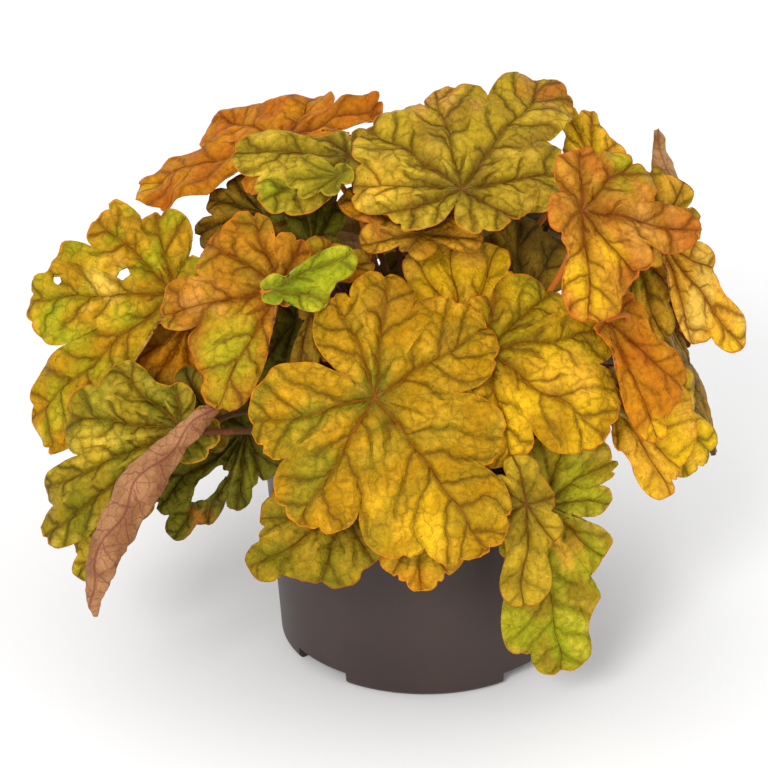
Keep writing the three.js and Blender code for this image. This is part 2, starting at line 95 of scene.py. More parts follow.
def band(tree, value, low, high, toLow=0.0, toHigh=1.0):
    # runs smoothly from toLow at low to toHigh at high
    node = tree.nodes.new("ShaderNodeMapRange")
    node.interpolation_type = "SMOOTHSTEP"
    for socket, number in zip(node.inputs, (value, low, high, toLow, toHigh)):
        feed(tree, socket, number)
    return node.outputs[0]


def line(tree, distance, near, far, strength=1.0):
    # full up to near and gone at far
    return band(tree, distance, near, far, strength, 0)


def mix(tree, share, first, second, blend="MIX"):
    node = tree.nodes.new("ShaderNodeMix")
    node.data_type = "RGBA"
    node.blend_type = blend
    # by number, because its sockets for numbers, vectors and colours share their names
    for socket, value in ((0, share), (6, first), (7, second)):
        feed(tree, node.inputs[socket], value)
    return node.outputs[2]


def scaled(tree, shade, by, share=1.0):
    # the shade multiplied by another, wholly or by a share
    return mix(tree, share, shade, by, "MULTIPLY")


def noise(tree, where, scale, detail=2.0, rough=0.5, space="3D", output="Fac"):
    node = tree.nodes.new("ShaderNodeTexNoise")
    node.noise_dimensions = space
    feed(tree, node.inputs["Vector"], where)
    node.inputs["Scale"].default_value = scale
    node.inputs["Detail"].default_value = detail
    node.inputs["Roughness"].default_value = rough
    return node.outputs[output]


def cells(tree, where, scale):
    # the distance to the nearest edge between cells
    node = tree.nodes.new("ShaderNodeTexVoronoi")
    node.voronoi_dimensions = "2D"
    node.feature = "DISTANCE_TO_EDGE"
    feed(tree, node.inputs["Vector"], where)
    node.inputs["Scale"].default_value = scale
    return node.outputs["Distance"]


def lengthOf(tree, vector):
    node = tree.nodes.new("ShaderNodeVectorMath")
    node.operation = "LENGTH"
    tree.links.new(vector, node.inputs[0])
    return node.outputs["Value"]


def objectPlace(tree):
    return tree.nodes.new("ShaderNodeTexCoord").outputs["Object"]


def uvPlace(tree, name):
    node = tree.nodes.new("ShaderNodeUVMap")
    node.uv_map = name
    return node.outputs["UV"]


def attribute(tree, name, output="Fac"):
    node = tree.nodes.new("ShaderNodeAttribute")
    node.attribute_name = name
    return node.outputs[output]


def coat(tree, shader, shade, roughness, specular=0.5):
    feed(tree, shader.inputs["Base Color"], shade)
    feed(tree, shader.inputs["Roughness"], roughness)
    shader.inputs["Specular IOR Level"].default_value = specular


def bump(tree, shader, height, distance, strength):
    node = tree.nodes.new("ShaderNodeBump")
    node.inputs["Strength"].default_value = strength
    node.inputs["Distance"].default_value = distance * mm
    tree.links.new(height, node.inputs["Height"])
    tree.links.new(node.outputs[0], shader.inputs["Normal"])


# Helpers for the pieces.

def newObject(name, data):
    thing = bpy.data.objects.new(name, data)
    bpy.context.scene.collection.objects.link(thing)
    return thing


def addPiece(name, mesh, nodes, materials):
    piece = newObject(name, mesh)
    for material in materials:
        mesh.materials.append(material)
    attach(piece, "root")
    if nodes:
        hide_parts(*nodes)
    return piece


def toMesh(name, bm):
    mesh = bpy.data.meshes.new(name)
    bm.to_mesh(mesh)
    bm.free()
    return mesh


def finishedMesh(thing):
    # the mesh that the object's modifiers or its bevel make; the object itself is then taken away
    made = thing.evaluated_get(bpy.context.evaluated_depsgraph_get())
    mesh = bpy.data.meshes.new_from_object(made)
    bpy.data.objects.remove(thing)
    return mesh


def smooth(mesh, angle=None):
    mesh.shade_smooth()
    if angle is not None:
        mesh.set_sharp_from_angle(angle=math.radians(angle))


# The leaf blades.

bladeSizes = {
    "thickness": 0.45,
    "steps": {"near": (1.1, 1.5), "far": (1.8, 2.4)},  # of the mesh, along the edge and outwards
    "archReach": 40,  # over which a blade bends by its arch
    "scallop": 12.5,  # arc length of one scallop
    "toothDepth": 1.6,
    "fullReach": 30,  # where a blade reaches less, it waves and swells less
    "wave": 1.2,
    "waveCount": 5,
    "puff": 2.7,  # how far the sheet swells between the main veins
    "cellPuff": 0.35,
    "drop": 0.6,  # of the margin
    "heart": 8,  # within this of the petiole the grooves and the crumpling fade
    # height or depth, and half width
    "mainGroove": (0.8, 1.5), "sideGroove": (0.6, 1.1), "mainRidge": (0.35, 0.8), "sideRidge": (0.2, 0.7),
    # height, and how far apart the humps are
    "crumple": (0.5, 13), "ruffle": (1.1, 14), "rollCrumple": (0.5, 9), "rollWave": (0.5, 22),
    "rollTeeth": 6,
    "rollHeel": 4,  # from the foot of a rolled blade to the place where its veins would meet
    "driftSize": 17,  # of the clouds of a blade's second colour
}
veinSizes = {
    "stray": (1.1, 22),  # how far a main vein strays, and over what length
    "sideSpacing": 11,
    "sideWidth": 0.75,  # of that spacing, measured square to the side veins
    "sideSlope": 0.75,
    "sideCurve": 0.007,
    "sideStagger": 0.45,  # of the spacing, between the left and the right of a main vein
    "lobeStagger": 0.37,  # of the spacing, for each degree of the clock
    "waver": (0.3, 24), "shake": (0.07, 7),  # of the side veins: share of the spacing, and length
}


def unit(vector):
    return vector / np.linalg.norm(vector)


def facing(compass, elevation):
    # compass 0 is the front and 90 the right
    a, e = math.radians(compass), math.radians(elevation)
    return np.array([math.sin(a) * math.cos(e), -math.cos(a) * math.cos(e), math.sin(e)])


def bladeAxes(face):
    normal = facing(*face)
    up = unit(np.array([0, 0, 1.0]) - normal[2] * normal)
    return np.cross(up, normal), up, normal


def clockPlace(clock, away):
    # the flat place at a clock angle, of which 0 is up the slope
    turn = np.radians(clock)
    return away * np.sin(turn), away * np.cos(turn)


def ripple(x, y, seed, reach, height=1):
    # a smooth random field, about height up and down, with humps about reach apart
    rng = np.random.default_rng(seed)
    total = 0
    for _ in range(6):
        turn, length, phase = rng.uniform(0, 2 * math.pi), reach * rng.uniform(0.8, 1.6), rng.uniform(0, 6.3)
        total = total + np.sin(2 * math.pi / length * (x * math.cos(turn) + y * math.sin(turn)) + phase)
    return height * total / 3.2


def ridge(distance, size):
    height, halfWidth = size
    return height * np.exp(-((distance / halfWidth) ** 2))


def lobesOf(outline):
    points = []
    for angle, reach in outline:
        while points and angle < points[-1][0]:
            angle += 360
        points.append((angle, reach))
    start = (points[-1][0] - 360, points[-1][1])
    lobes = []
    for tip, end in zip(points[0::2], points[1::2]):
        lobes.append((start, tip, end))
        start = end
    return lobes


def lobeReach(tip, side, share):
    # from the tip's reach to that of the sinus beside it, and round at the tip
    return side[1] + (tip[1] - side[1]) * np.maximum(np.cos(share * np.pi / 2), 0) ** 0.5


def scallopRise(across, teeth, jitter):
    # rounded scallops, each of two or three small pointed teeth, and no valley in the sinus itself
    place = (across + 1) / 2 * teeth
    whole = np.floor(np.minimum(place, teeth - 1e-6)).astype(int)
    part = np.clip(place - whole, 0, 1)
    valley = np.where((place < 0.5) | (place > teeth - 0.5), 0.2, jitter[whole % 8])
    crest = np.sin(np.pi * part) ** 0.5
    count = 2 + (jitter[(whole + 3) % 8] > 0.75)
    tooth = np.abs(2 * ((part * count + 0.12 * jitter[whole % 8]) % 1) - 1)
    return -valley + (valley + 0.3) * crest + 0.32 * (1 - tooth) ** 1.5 - 0.12


def edgeColumns(outline, step, seed):
    # the edge as columns of angle, reach and place in the lobe, evenly spaced along the outline
    rng = np.random.default_rng(seed)
    angles, reaches, acrosses = [], [], []
    for start, tip, end in lobesOf(outline):
        arc = math.radians(end[0] - start[0]) * tip[1]
        teeth = min(max(round(arc / bladeSizes["scallop"]), 1), 4)
        jitter = rng.uniform(0.35, 1.1, 8)
        for sign, side in ((-1, start), (1, end)):
            stops = sorted({0.0, 1.0} | {abs(2 * k / teeth - 1) for k in range(teeth + 1)})
            fine = np.linspace(0, 1, 400)
            reach, angle = lobeReach(tip, side, fine), tip[0] + (side[0] - tip[0]) * fine
            # steps outwards count less, or the columns beside a sinus would all but coincide
            run = np.hypot(0.35 * np.diff(reach), np.diff(np.radians(angle)) * (reach[1:] + reach[:-1]) / 2)
            length = np.concatenate([[0], np.cumsum(run)])
            share = []
            for low, high in zip(stops[:-1], stops[1:]):
                ends = np.interp([low, high], fine, length)
                count = max(2, round((ends[1] - ends[0]) / step))
                share.extend(np.interp(np.linspace(*ends, count + 1)[:-1], length, fine))
            share = np.array(share + [1.0])
            if sign < 0:
                share = share[::-1]
            # the last point of each half is the first of the next
            share = share[:-1]
            reach = lobeReach(tip, side, share)
            reach = reach + bladeSizes["toothDepth"] * scallopRise(sign * share, teeth, jitter)
            angles.extend(tip[0] + (side[0] - tip[0]) * share)
            reaches.extend(np.maximum(reach, 2))
            acrosses.extend(sign * share)
    angles.append(angles[0] + 360)
    reaches.append(reaches[0])
    acrosses.append(acrosses[0])
    return tuple(map(np.array, (angles, reaches, acrosses)))


def evenReach(angles, reaches, angle):
    # the reach at each angle, averaged over the directions near it
    grid = np.arange(0, 360, 3)
    apart = (np.subtract.outer(grid, angles[:-1]) + 180) % 360 - 180
    weights = np.exp(-((apart / 9) ** 2)) * np.diff(angles)
    return np.interp(angle, grid, weights @ reaches[:-1] / weights.sum(axis=1), period=360)


def veinCoordinates(angle, radius, tipAngle, seed):
    # distance from the lobe's main vein, and a count that is whole on each side vein
    s = veinSizes
    out, along = clockPlace(angle - tipAngle, radius)
    x, y = clockPlace(angle, radius)

    def field(key, number):
        height, reach = s[key]
        return ripple(x, y, seed + number, reach, height)

    out = out + field("stray", 0) * np.minimum(radius / 12, 1)
    away = np.abs(out)
    phase = (along - s["sideSlope"] * away - s["sideCurve"] * away**2) / s["sideSpacing"]
    phase = phase + s["sideStagger"] * (out > 0) + tipAngle * s["lobeStagger"]
    return out, phase + field("waver", 1) + field("shake", 4)


def sideVeinDistance(phase):
    return np.abs(phase - np.floor(phase + 0.5)) * veinSizes["sideSpacing"] * veinSizes["sideWidth"]


def sheetPlace(arch, angle, radius, lift):
    # the place in the blade's own frame, on a sheet bent across and along, raised by lift
    across, along = (np.radians(bend) / bladeSizes["archReach"] for bend in arch)
    x, y = clockPlace(angle, radius)
    x, y = across * x, along * y
    acrossRadius = 1 / across + lift
    alongRadius = 1 / along + acrossRadius * np.cos(x) - 1 / across
    place = [acrossRadius * np.sin(x), alongRadius * np.sin(y), alongRadius * np.cos(y) - 1 / along]
    return np.stack(place, axis=-1)


def ribSectors(ribs, angle):
    # for each angle its rib, and the share of the way from the rib to the next rib's half of the sheet
    ribs = np.sort(np.array(ribs, float) % 360)
    turn = angle % 360
    after = np.searchsorted(ribs, turn) % len(ribs)
    before = (after - 1) % len(ribs)
    gap = (ribs[after] - ribs[before]) % 360
    gap = np.where(gap == 0, 360, gap)
    past = (turn - ribs[before]) % 360
    rib = np.where(past < gap / 2, ribs[before], ribs[after])
    return rib, np.minimum(past, gap - past) / (gap / 2)


def gridMesh(columns, rows):
    bm = bmesh.new()
    bmesh.ops.create_grid(bm, x_segments=columns, y_segments=rows, size=0.5)
    mesh = toMesh("blade", bm)
    co = np.empty(len(mesh.vertices) * 3, np.float32)
    mesh.vertices.foreach_get("co", co)
    co = co.reshape(-1, 3)
    column, row = (np.rint((co[:, k] + 0.5) * count).astype(int) for k, count in enumerate((columns, rows)))
    corner = np.empty(len(mesh.loops), np.int32)
    mesh.loops.foreach_get("vertex_index", corner)
    return mesh, column, row, corner


def setPlaces(mesh, places):
    mesh.vertices.foreach_set("co", (places * mm).astype(np.float32).ravel())


def setUv(mesh, name, u, v):
    layer = mesh.uv_layers.new(name=name)
    layer.data.foreach_set("uv", np.stack([u, v], axis=-1).astype(np.float32).ravel())


def setValue(mesh, name, values):
    layer = mesh.attributes.new(name, "FLOAT", "POINT")
    layer.data.foreach_set("value", values.astype(np.float32))


def setPaint(mesh, x, y, paint, seed):
    # the wash covers the whole blade, its second colour drifts through it and the marks lie on top
    shade, mask = np.zeros((len(x), 3)), np.zeros(len(x))
    if "wash" in paint:
        *names, strength = paint["wash"]
        first, second = (np.array(colour(palette[name])[:3]) for name in names)
        cloud = np.clip(0.35 + 0.9 * ripple(x, y, seed, bladeSizes["driftSize"]), 0, 1)[:, None]
        shade, mask = first + (second - first) * cloud, mask + strength
    for name, clock, away, size in paint.get("marks", ()):
        px, py = clockPlace(clock, away)
        near = np.clip(1 - np.hypot(x - px, y - py) / size + 0.4 * ripple(x, y, seed, size * 0.7), 0, 1)
        share = 0.8 * near * near * (3 - 2 * near)
        shade = shade + (np.array(colour(palette[name])[:3]) - shade) * share[:, None]
        mask = 1 - (1 - mask) * (1 - share)
    layer = mesh.color_attributes.new("tint", "FLOAT_COLOR", "POINT")
    rgba = np.concatenate([shade, mask[:, None]], axis=1).astype(np.float32)
    layer.data.foreach_set("color", rgba.ravel())
    setValue(mesh, "bold", np.full(len(x), paint.get("bold", 1)))


def openHoles(x, y, holes):
    # moves the points inside a hole onto its ragged edge, and says which they are
    inside = np.zeros(len(x), bool)
    for clock, away, length, width, turn in holes:
        px, py = clockPlace(clock, away)
        ax, ay = clockPlace(turn, 1)
        along, beside = (x - px) * ax + (y - py) * ay, (x - px) * ay - (y - py) * ax
        ragged = 1 + 0.12 * np.sin(5 * np.arctan2(beside / width, along / length) + clock)
        distance = np.hypot(along / length, beside / width) / ragged
        within = distance < 1
        scale = np.where(within, 1 / np.maximum(distance, 0.02), 1)
        x, y = px + (x - px) * scale, py + (y - py) * scale
        inside |= within
    return x, y, np.nonzero(inside)[0]


def closeGrid(mesh, inside=()):
    # merges the points that coincide, and cuts away the faces that lie in a hole
    bm = bmesh.new()
    bm.from_mesh(mesh)
    if len(inside):
        gone = set(int(i) for i in inside)
        faces = [f for f in bm.faces if all(v.index in gone for v in f.verts)]
        bmesh.ops.delete(bm, geom=faces, context="FACES")
    bmesh.ops.remove_doubles(bm, verts=bm.verts, dist=1e-6)
    bm.to_mesh(mesh)
    bm.free()
    return mesh


def bladeLift(angle, radius, even, across, lobePlace, veins, humps):
    # how high each point lies over the bent sheet; even is the blade's averaged reach in its direction
    s = bladeSizes
    fromRib, side = veins
    part = np.minimum(radius / even, 1)
    size = np.minimum(1, even / s["fullReach"])
    heart = np.minimum(1, radius / s["heart"])
    lift = s["wave"] * size * part**2 * np.cos(np.radians(s["waveCount"] * angle))
    swell = (1 - (1 - across) ** 2) * part**0.9 * (1 - 0.5 * part**3)
    swell = swell * (1 - 0.8 * part**2 * np.abs(lobePlace) ** 4)
    lift = lift + s["puff"] * size * (swell - 0.35 * part)
    # the grooves end before the line between two main veins and fade where all the veins meet
    depth = np.clip((0.94 - across) / 0.2, 0, 1) * heart**2
    lift = lift - ridge(fromRib, s["mainGroove"]) * (1 - part**3) * depth
    lift = lift - ridge(side, s["sideGroove"]) * np.minimum(1, fromRib / 3) * (1 - part**5) * depth
    crumple, ruffle = humps
    return lift + crumple * heart + ruffle * size * part**4 - s["drop"] * size * part**8


def humpsOf(x, y, seed, key, crumple=1):
    height, reach = bladeSizes[key]
    return ripple(x, y, seed, reach, height * crumple)


def flatBlade(leaf, seed):
    columnStep, rowStep = bladeSizes["steps"][leaf.get("detail", "near")]
    angles, reaches, acrosses = edgeColumns(leaf["outline"], columnStep, seed)
    columns, rows = len(angles) - 1, max(8, round(reaches.max() / rowStep))
    mesh, column, row, corner = gridMesh(columns, rows)
    share = row / rows
    angle, edge = angles[column], reaches[column]
    radius = share * edge
    x, y = clockPlace(angle, radius)
    paint = leafPaint.get(leaf["name"], {})
    x, y, cutPoints = openHoles(x, y, paint.get("holes", ()))
    angle[cutPoints] = np.degrees(np.arctan2(x, y))[cutPoints]
    radius[cutPoints] = np.hypot(x, y)[cutPoints]
    ribs = paint.get("ribs", [tip[0] for _, tip, _ in lobesOf(leaf["outline"])])
    rib, across = ribSectors(ribs, angle)
    out, phase = veinCoordinates(angle, radius, rib, seed)
    # the heights follow the reach averaged over nearby directions, which has no jump at a sinus
    even = evenReach(angles, reaches, angle)
    crumple = paint.get("crumple", 1)
    humps = humpsOf(x, y, seed + 2, "crumple", crumple), humpsOf(x, y, seed + 3, "ruffle", crumple)
    veins = np.abs(out), sideVeinDistance(phase)
    lift = bladeLift(angle, radius, even, across, acrosses[column], veins, humps)
    place = sheetPlace(leaf["arch"], angle, radius, lift)
    setPlaces(mesh, place @ np.array(bladeAxes(leaf["face"])) + np.array(leaf["at"]))
    # a face belongs to one rib, or its veins would be drawn across the line between two
    cornerColumn = np.repeat(column[corner].reshape(-1, 4).min(axis=1), 4)
    cornerRib = ribSectors(ribs, (angles[cornerColumn] + angles[cornerColumn + 1]) / 2)[0]
    setUv(mesh, "leaf", x[corner], y[corner])
    setUv(mesh, "veins", *veinCoordinates(angle[corner], radius[corner], cornerRib, seed))
    setValue(mesh, "edge", (1 - share) * edge)
    setValue(mesh, "across", across)
    setPaint(mesh, x, y, paint, seed + 5)
    return closeGrid(mesh, cutPoints)


def rolledBlade(leaf, seed):
    # a blade rolled about its length, with its underside outwards
    s = bladeSizes
    spine, widths = np.array(leaf["spine"], float), np.array(leaf["halfWidths"], float)
    rows, columns = leaf["rows"], leaf["columns"]
    fine = np.linspace(0, len(spine) - 1, rows + 1)
    smoothSpine = np.stack([splined(spine[:, k], fine) for k in range(3)], axis=-1)
    halfWidth = np.maximum(splined(widths, fine), 0.8)
    along = np.gradient(smoothSpine, axis=0)
    along = along / np.linalg.norm(along, axis=1)[:, None]
    out = facing(*leaf["face"]) - (along @ facing(*leaf["face"]))[:, None] * along
    out = out / np.linalg.norm(out, axis=1)[:, None]
    across = np.cross(along, out)
    roll = math.radians(leaf["roll"])
    mesh, column, row, corner = gridMesh(columns, rows)
    run = np.concatenate([[0], np.cumsum(np.linalg.norm(np.diff(smoothSpine, axis=0), axis=1))])
    share = column / columns * 2 - 1
    length = run[row]
    edgeRise = scallopRise(np.clip(length / run[-1] * 2 - 1, -1, 1), s["rollTeeth"], np.full(8, 0.8))
    width = halfWidth[row] * (1 + 0.1 * edgeRise * np.abs(share) ** 3)
    curl = 2 * halfWidth[row] / roll
    turn = roll / 2 * share * width / halfWidth[row]
    x, y = share * width, length
    up = y + s["rollHeel"]
    rib, phase = veinCoordinates(np.degrees(np.arctan2(x, up)), np.hypot(x, up), 0, seed)
    lift = ridge(rib, s["mainRidge"]) + ridge(sideVeinDistance(phase), s["sideRidge"])
    lift = lift + humpsOf(x, y, seed + 2, "rollCrumple") + humpsOf(x, y, seed + 3, "rollWave")
    normal = out[row] * np.cos(turn)[:, None] + across[row] * np.sin(turn)[:, None]
    setPlaces(mesh, smoothSpine[row] - out[row] * curl[:, None] + normal * (curl + lift)[:, None])
    setUv(mesh, "leaf", x[corner], y[corner])
    setUv(mesh, "veins", rib[corner], phase[corner])
    setValue(mesh, "edge", np.minimum(width * (1 - np.abs(share)), run[-1] - length + 1))
    setValue(mesh, "across", np.abs(share))
    setPaint(mesh, x, y, leafPaint.get(leaf["name"], {}), seed + 5)
    return closeGrid(mesh)


def splined(values, fine):
    # a smooth run through the values, straight past both ends
    slopes = np.gradient(values)
    low = np.clip(np.floor(fine).astype(int), 0, len(values) - 2)
    t = fine - low
    rise, start, end = 3 * t**2 - 2 * t**3, t**3 - 2 * t**2 + t, t**3 - t**2
    return values[low] * (1 - rise) + values[low + 1] * rise + slopes[low] * start + slopes[low + 1] * end


# The colours of each kind of blade: its pale places, partly a painted highlight on the swollen cells, its
# ground and other ground, the halo beside its veins, partly painted shade in their grooves, its side and main
# veins, its margin and its underside.
leafLooks = {
    "gold": dict(
        bright=(228, 178, 60), base=(188, 136, 8), other=(152, 118, 14), halo=(98, 88, 14),
        vein=(118, 62, 14), rib=(168, 88, 24), margin=(226, 138, 36), under=(186, 148, 84)),
    "green": dict(
        bright=(226, 196, 92), base=(146, 122, 18), other=(116, 106, 18), halo=(64, 60, 12),
        vein=(88, 54, 18), rib=(146, 88, 28), margin=(208, 136, 40), under=(162, 146, 90)),
    # for the leaves deep inside the plant: their darker colours are partly painted shade
    "dark": dict(
        bright=(112, 104, 36), base=(86, 78, 24), other=(70, 70, 22), halo=(50, 52, 18),
        vein=(58, 42, 18), rib=(86, 56, 26), margin=(120, 90, 34), under=(112, 104, 60)),
    "orange": dict(
        bright=(212, 138, 44), base=(182, 104, 14), other=(158, 96, 16), halo=(120, 76, 14),
        vein=(118, 46, 14), rib=(160, 72, 24), margin=(214, 118, 34), under=(186, 122, 72)),
    "salmon": dict(
        bright=(238, 178, 92), base=(188, 120, 34), other=(166, 104, 24), halo=(126, 84, 20),
        vein=(110, 44, 16), rib=(150, 68, 30), margin=(212, 110, 44), under=(194, 136, 92)),
    "olive": dict(
        bright=(196, 152, 50), base=(154, 114, 22), other=(126, 100, 20), halo=(86, 70, 14),
        vein=(86, 52, 18), rib=(130, 76, 28), margin=(164, 104, 32), under=(146, 120, 70)),
    "lime": dict(
        bright=(190, 186, 78), base=(150, 152, 34), other=(160, 136, 30), halo=(100, 112, 24),
        vein=(106, 90, 26), rib=(140, 120, 40), margin=(176, 150, 50), under=(170, 170, 96)),
    "pink": dict(
        bright=(180, 132, 92), base=(156, 106, 70), other=(146, 104, 60), halo=(130, 84, 54),
        vein=(104, 38, 40), rib=(120, 62, 46), margin=(176, 96, 60), under=(176, 128, 82)),
    "tan": dict(
        bright=(190, 144, 84), base=(164, 116, 56), other=(136, 104, 44), halo=(120, 92, 36),
        vein=(100, 56, 30), rib=(130, 74, 40), margin=(186, 108, 50), under=(182, 138, 90)),
}

# The scales are cells in each millimetre, and the wobble is how far they are pulled about.
netSizes = {"scale": 0.2, "wobble": 2.6, "fineScale": 0.62, "fineWidth": 1.6}
# Distances from a line's middle, in millimetres, where it starts to fade and where it has gone.
topLines = {"rib": (0.12, 0.75), "ribCore": (0.05, 0.4), "fork": (0.03, 0.4), "net": (0.03, 0.4),
            "fine": (0.02, 0.22)}
underLines = {"rib": (0.1, 0.6, 0.85), "side": (0.05, 0.4, 0.8), "net": (0.03, 0.3, 0.7),
              "fine": (0.02, 0.25, 0.25)}  # and how strong it is
# What the ground's colour is multiplied by in each place, and what the finished colour is.
topShades = {"pale": (1.5, 1.45, 1.7, 1), "halo": (0.5, 0.5, 0.35, 1), "light": (1.35, 1.3, 1.4, 1),
             "deep": (0.62, 0.58, 0.45, 1), "fine": (0.45, 0.4, 0.3, 1), "vein": (0.36, 0.24, 0.2, 1),
             "thin": (0.4, 0.33, 0.2, 1), "whole": (0.94, 0.9, 0.55, 1)}
wornShade = (0.66, 0.6, 0.5, 1)
speckShade = (80, 40, 16)
farAway = (9, 9, 9, 1)  # a distance at which no vein shows
# Soft random fields over a blade: how many cells in each millimetre, detail and roughness.
leafClouds = {
    "pale": (0.052, 4.0, 0.62), "other": (0.035, 3.0, 0.55), "mottle": (0.55, 3.0, 0.6),
    "netShow": (0.075, 2.0, 0.5), "margin": (0.3, 2.0, 0.5), "speck": (0.9, 1.0, 0.5),
    "waver": (0.28, 2.0, 0.5), "wobble": (0.35, 2.0, 0.5), "grain": (3.0, 2.0, 0.6),
    "under": (0.1, 3.0, 0.5), "worn": (0.09, 2.0, 0.5), "underGrain": (2.0, 2.0, 0.6),
}


def leafCloud(tree, where, name, output="Fac"):
    return noise(tree, where, *leafClouds[name], "2D", output)


def puckers():
    # swells the sheet inside each cell of the vein net, where the shader draws it
    group = bpy.data.node_groups.new("leaf_puckers", "GeometryNodeTree")
    for way in ("INPUT", "OUTPUT"):
        group.interface.new_socket(name="Geometry", in_out=way, socket_type="NodeSocketGeometry")
    start, end = group.nodes.new("NodeGroupInput"), group.nodes.new("NodeGroupOutput")
    place = group.nodes.new("GeometryNodeInputNamedAttribute")
    place.data_type = "FLOAT_VECTOR"
    place.inputs["Name"].default_value = "leaf"
    net = cells(group, bentPlace(group, place.outputs["Attribute"]), netSizes["scale"])
    swell = times(group, band(group, net, 0.0, 0.36), bladeSizes["cellPuff"] * mm)
    lift = group.nodes.new("ShaderNodeVectorMath")
    lift.operation = "SCALE"
    group.links.new(group.nodes.new("GeometryNodeInputNormal").outputs[0], lift.inputs[0])
    group.links.new(swell, lift.inputs["Scale"])
    move = group.nodes.new("GeometryNodeSetPosition")
    group.links.new(start.outputs[0], move.inputs["Geometry"])
    group.links.new(lift.outputs[0], move.inputs["Offset"])
    group.links.new(move.outputs[0], end.inputs[0])
    return group


def bentPlace(tree, where):
    shift = tree.nodes.new("ShaderNodeVectorMath")
    shift.operation = "MULTIPLY_ADD"
    tree.links.new(leafCloud(tree, where, "wobble", "Color"), shift.inputs[0])
    shift.inputs[1].default_value = (netSizes["wobble"], netSizes["wobble"], 0)
    tree.links.new(where, shift.inputs[2])
    return shift.outputs[0]


def veinLines(tree):
    # the place on the blade, and the distances from the main, side, forked, net and finest veins
    where = uvPlace(tree, "leaf")
    veins = tree.nodes.new("ShaderNodeSeparateXYZ")
    tree.links.new(uvPlace(tree, "veins"), veins.inputs[0])
    rib = calc(tree, "ABSOLUTE", veins.outputs[0])
    apart = veinSizes["sideSpacing"] * veinSizes["sideWidth"]
    waver = 0.24
    wavering = calc(tree, "MULTIPLY_ADD", leafCloud(tree, where, "waver"), waver, veins.outputs[1])
    # the counts are raised by a whole number, so that none is below 0
    side = times(tree, calc(tree, "PINGPONG", calc(tree, "ADD", wavering, 200 - waver / 2), 0.5), apart)
    # away from the main vein a forked one parts from each side vein and ends halfway to the next
    middle = calc(tree, "ADD", wavering, -waver / 2)
    parted = calc(tree, "MULTIPLY_ADD", band(tree, rib, 4.0, 15.0), -0.5, middle)
    fork = times(tree, calc(tree, "PINGPONG", calc(tree, "ADD", parted, 200.0), 0.5), apart)
    bent = bentPlace(tree, where)
    net = times(tree, cells(tree, bent, netSizes["scale"]), 1 / netSizes["scale"])
    fine = times(tree, cells(tree, bent, netSizes["fineScale"]), netSizes["fineWidth"])
    return where, rib, side, fork, net, fine


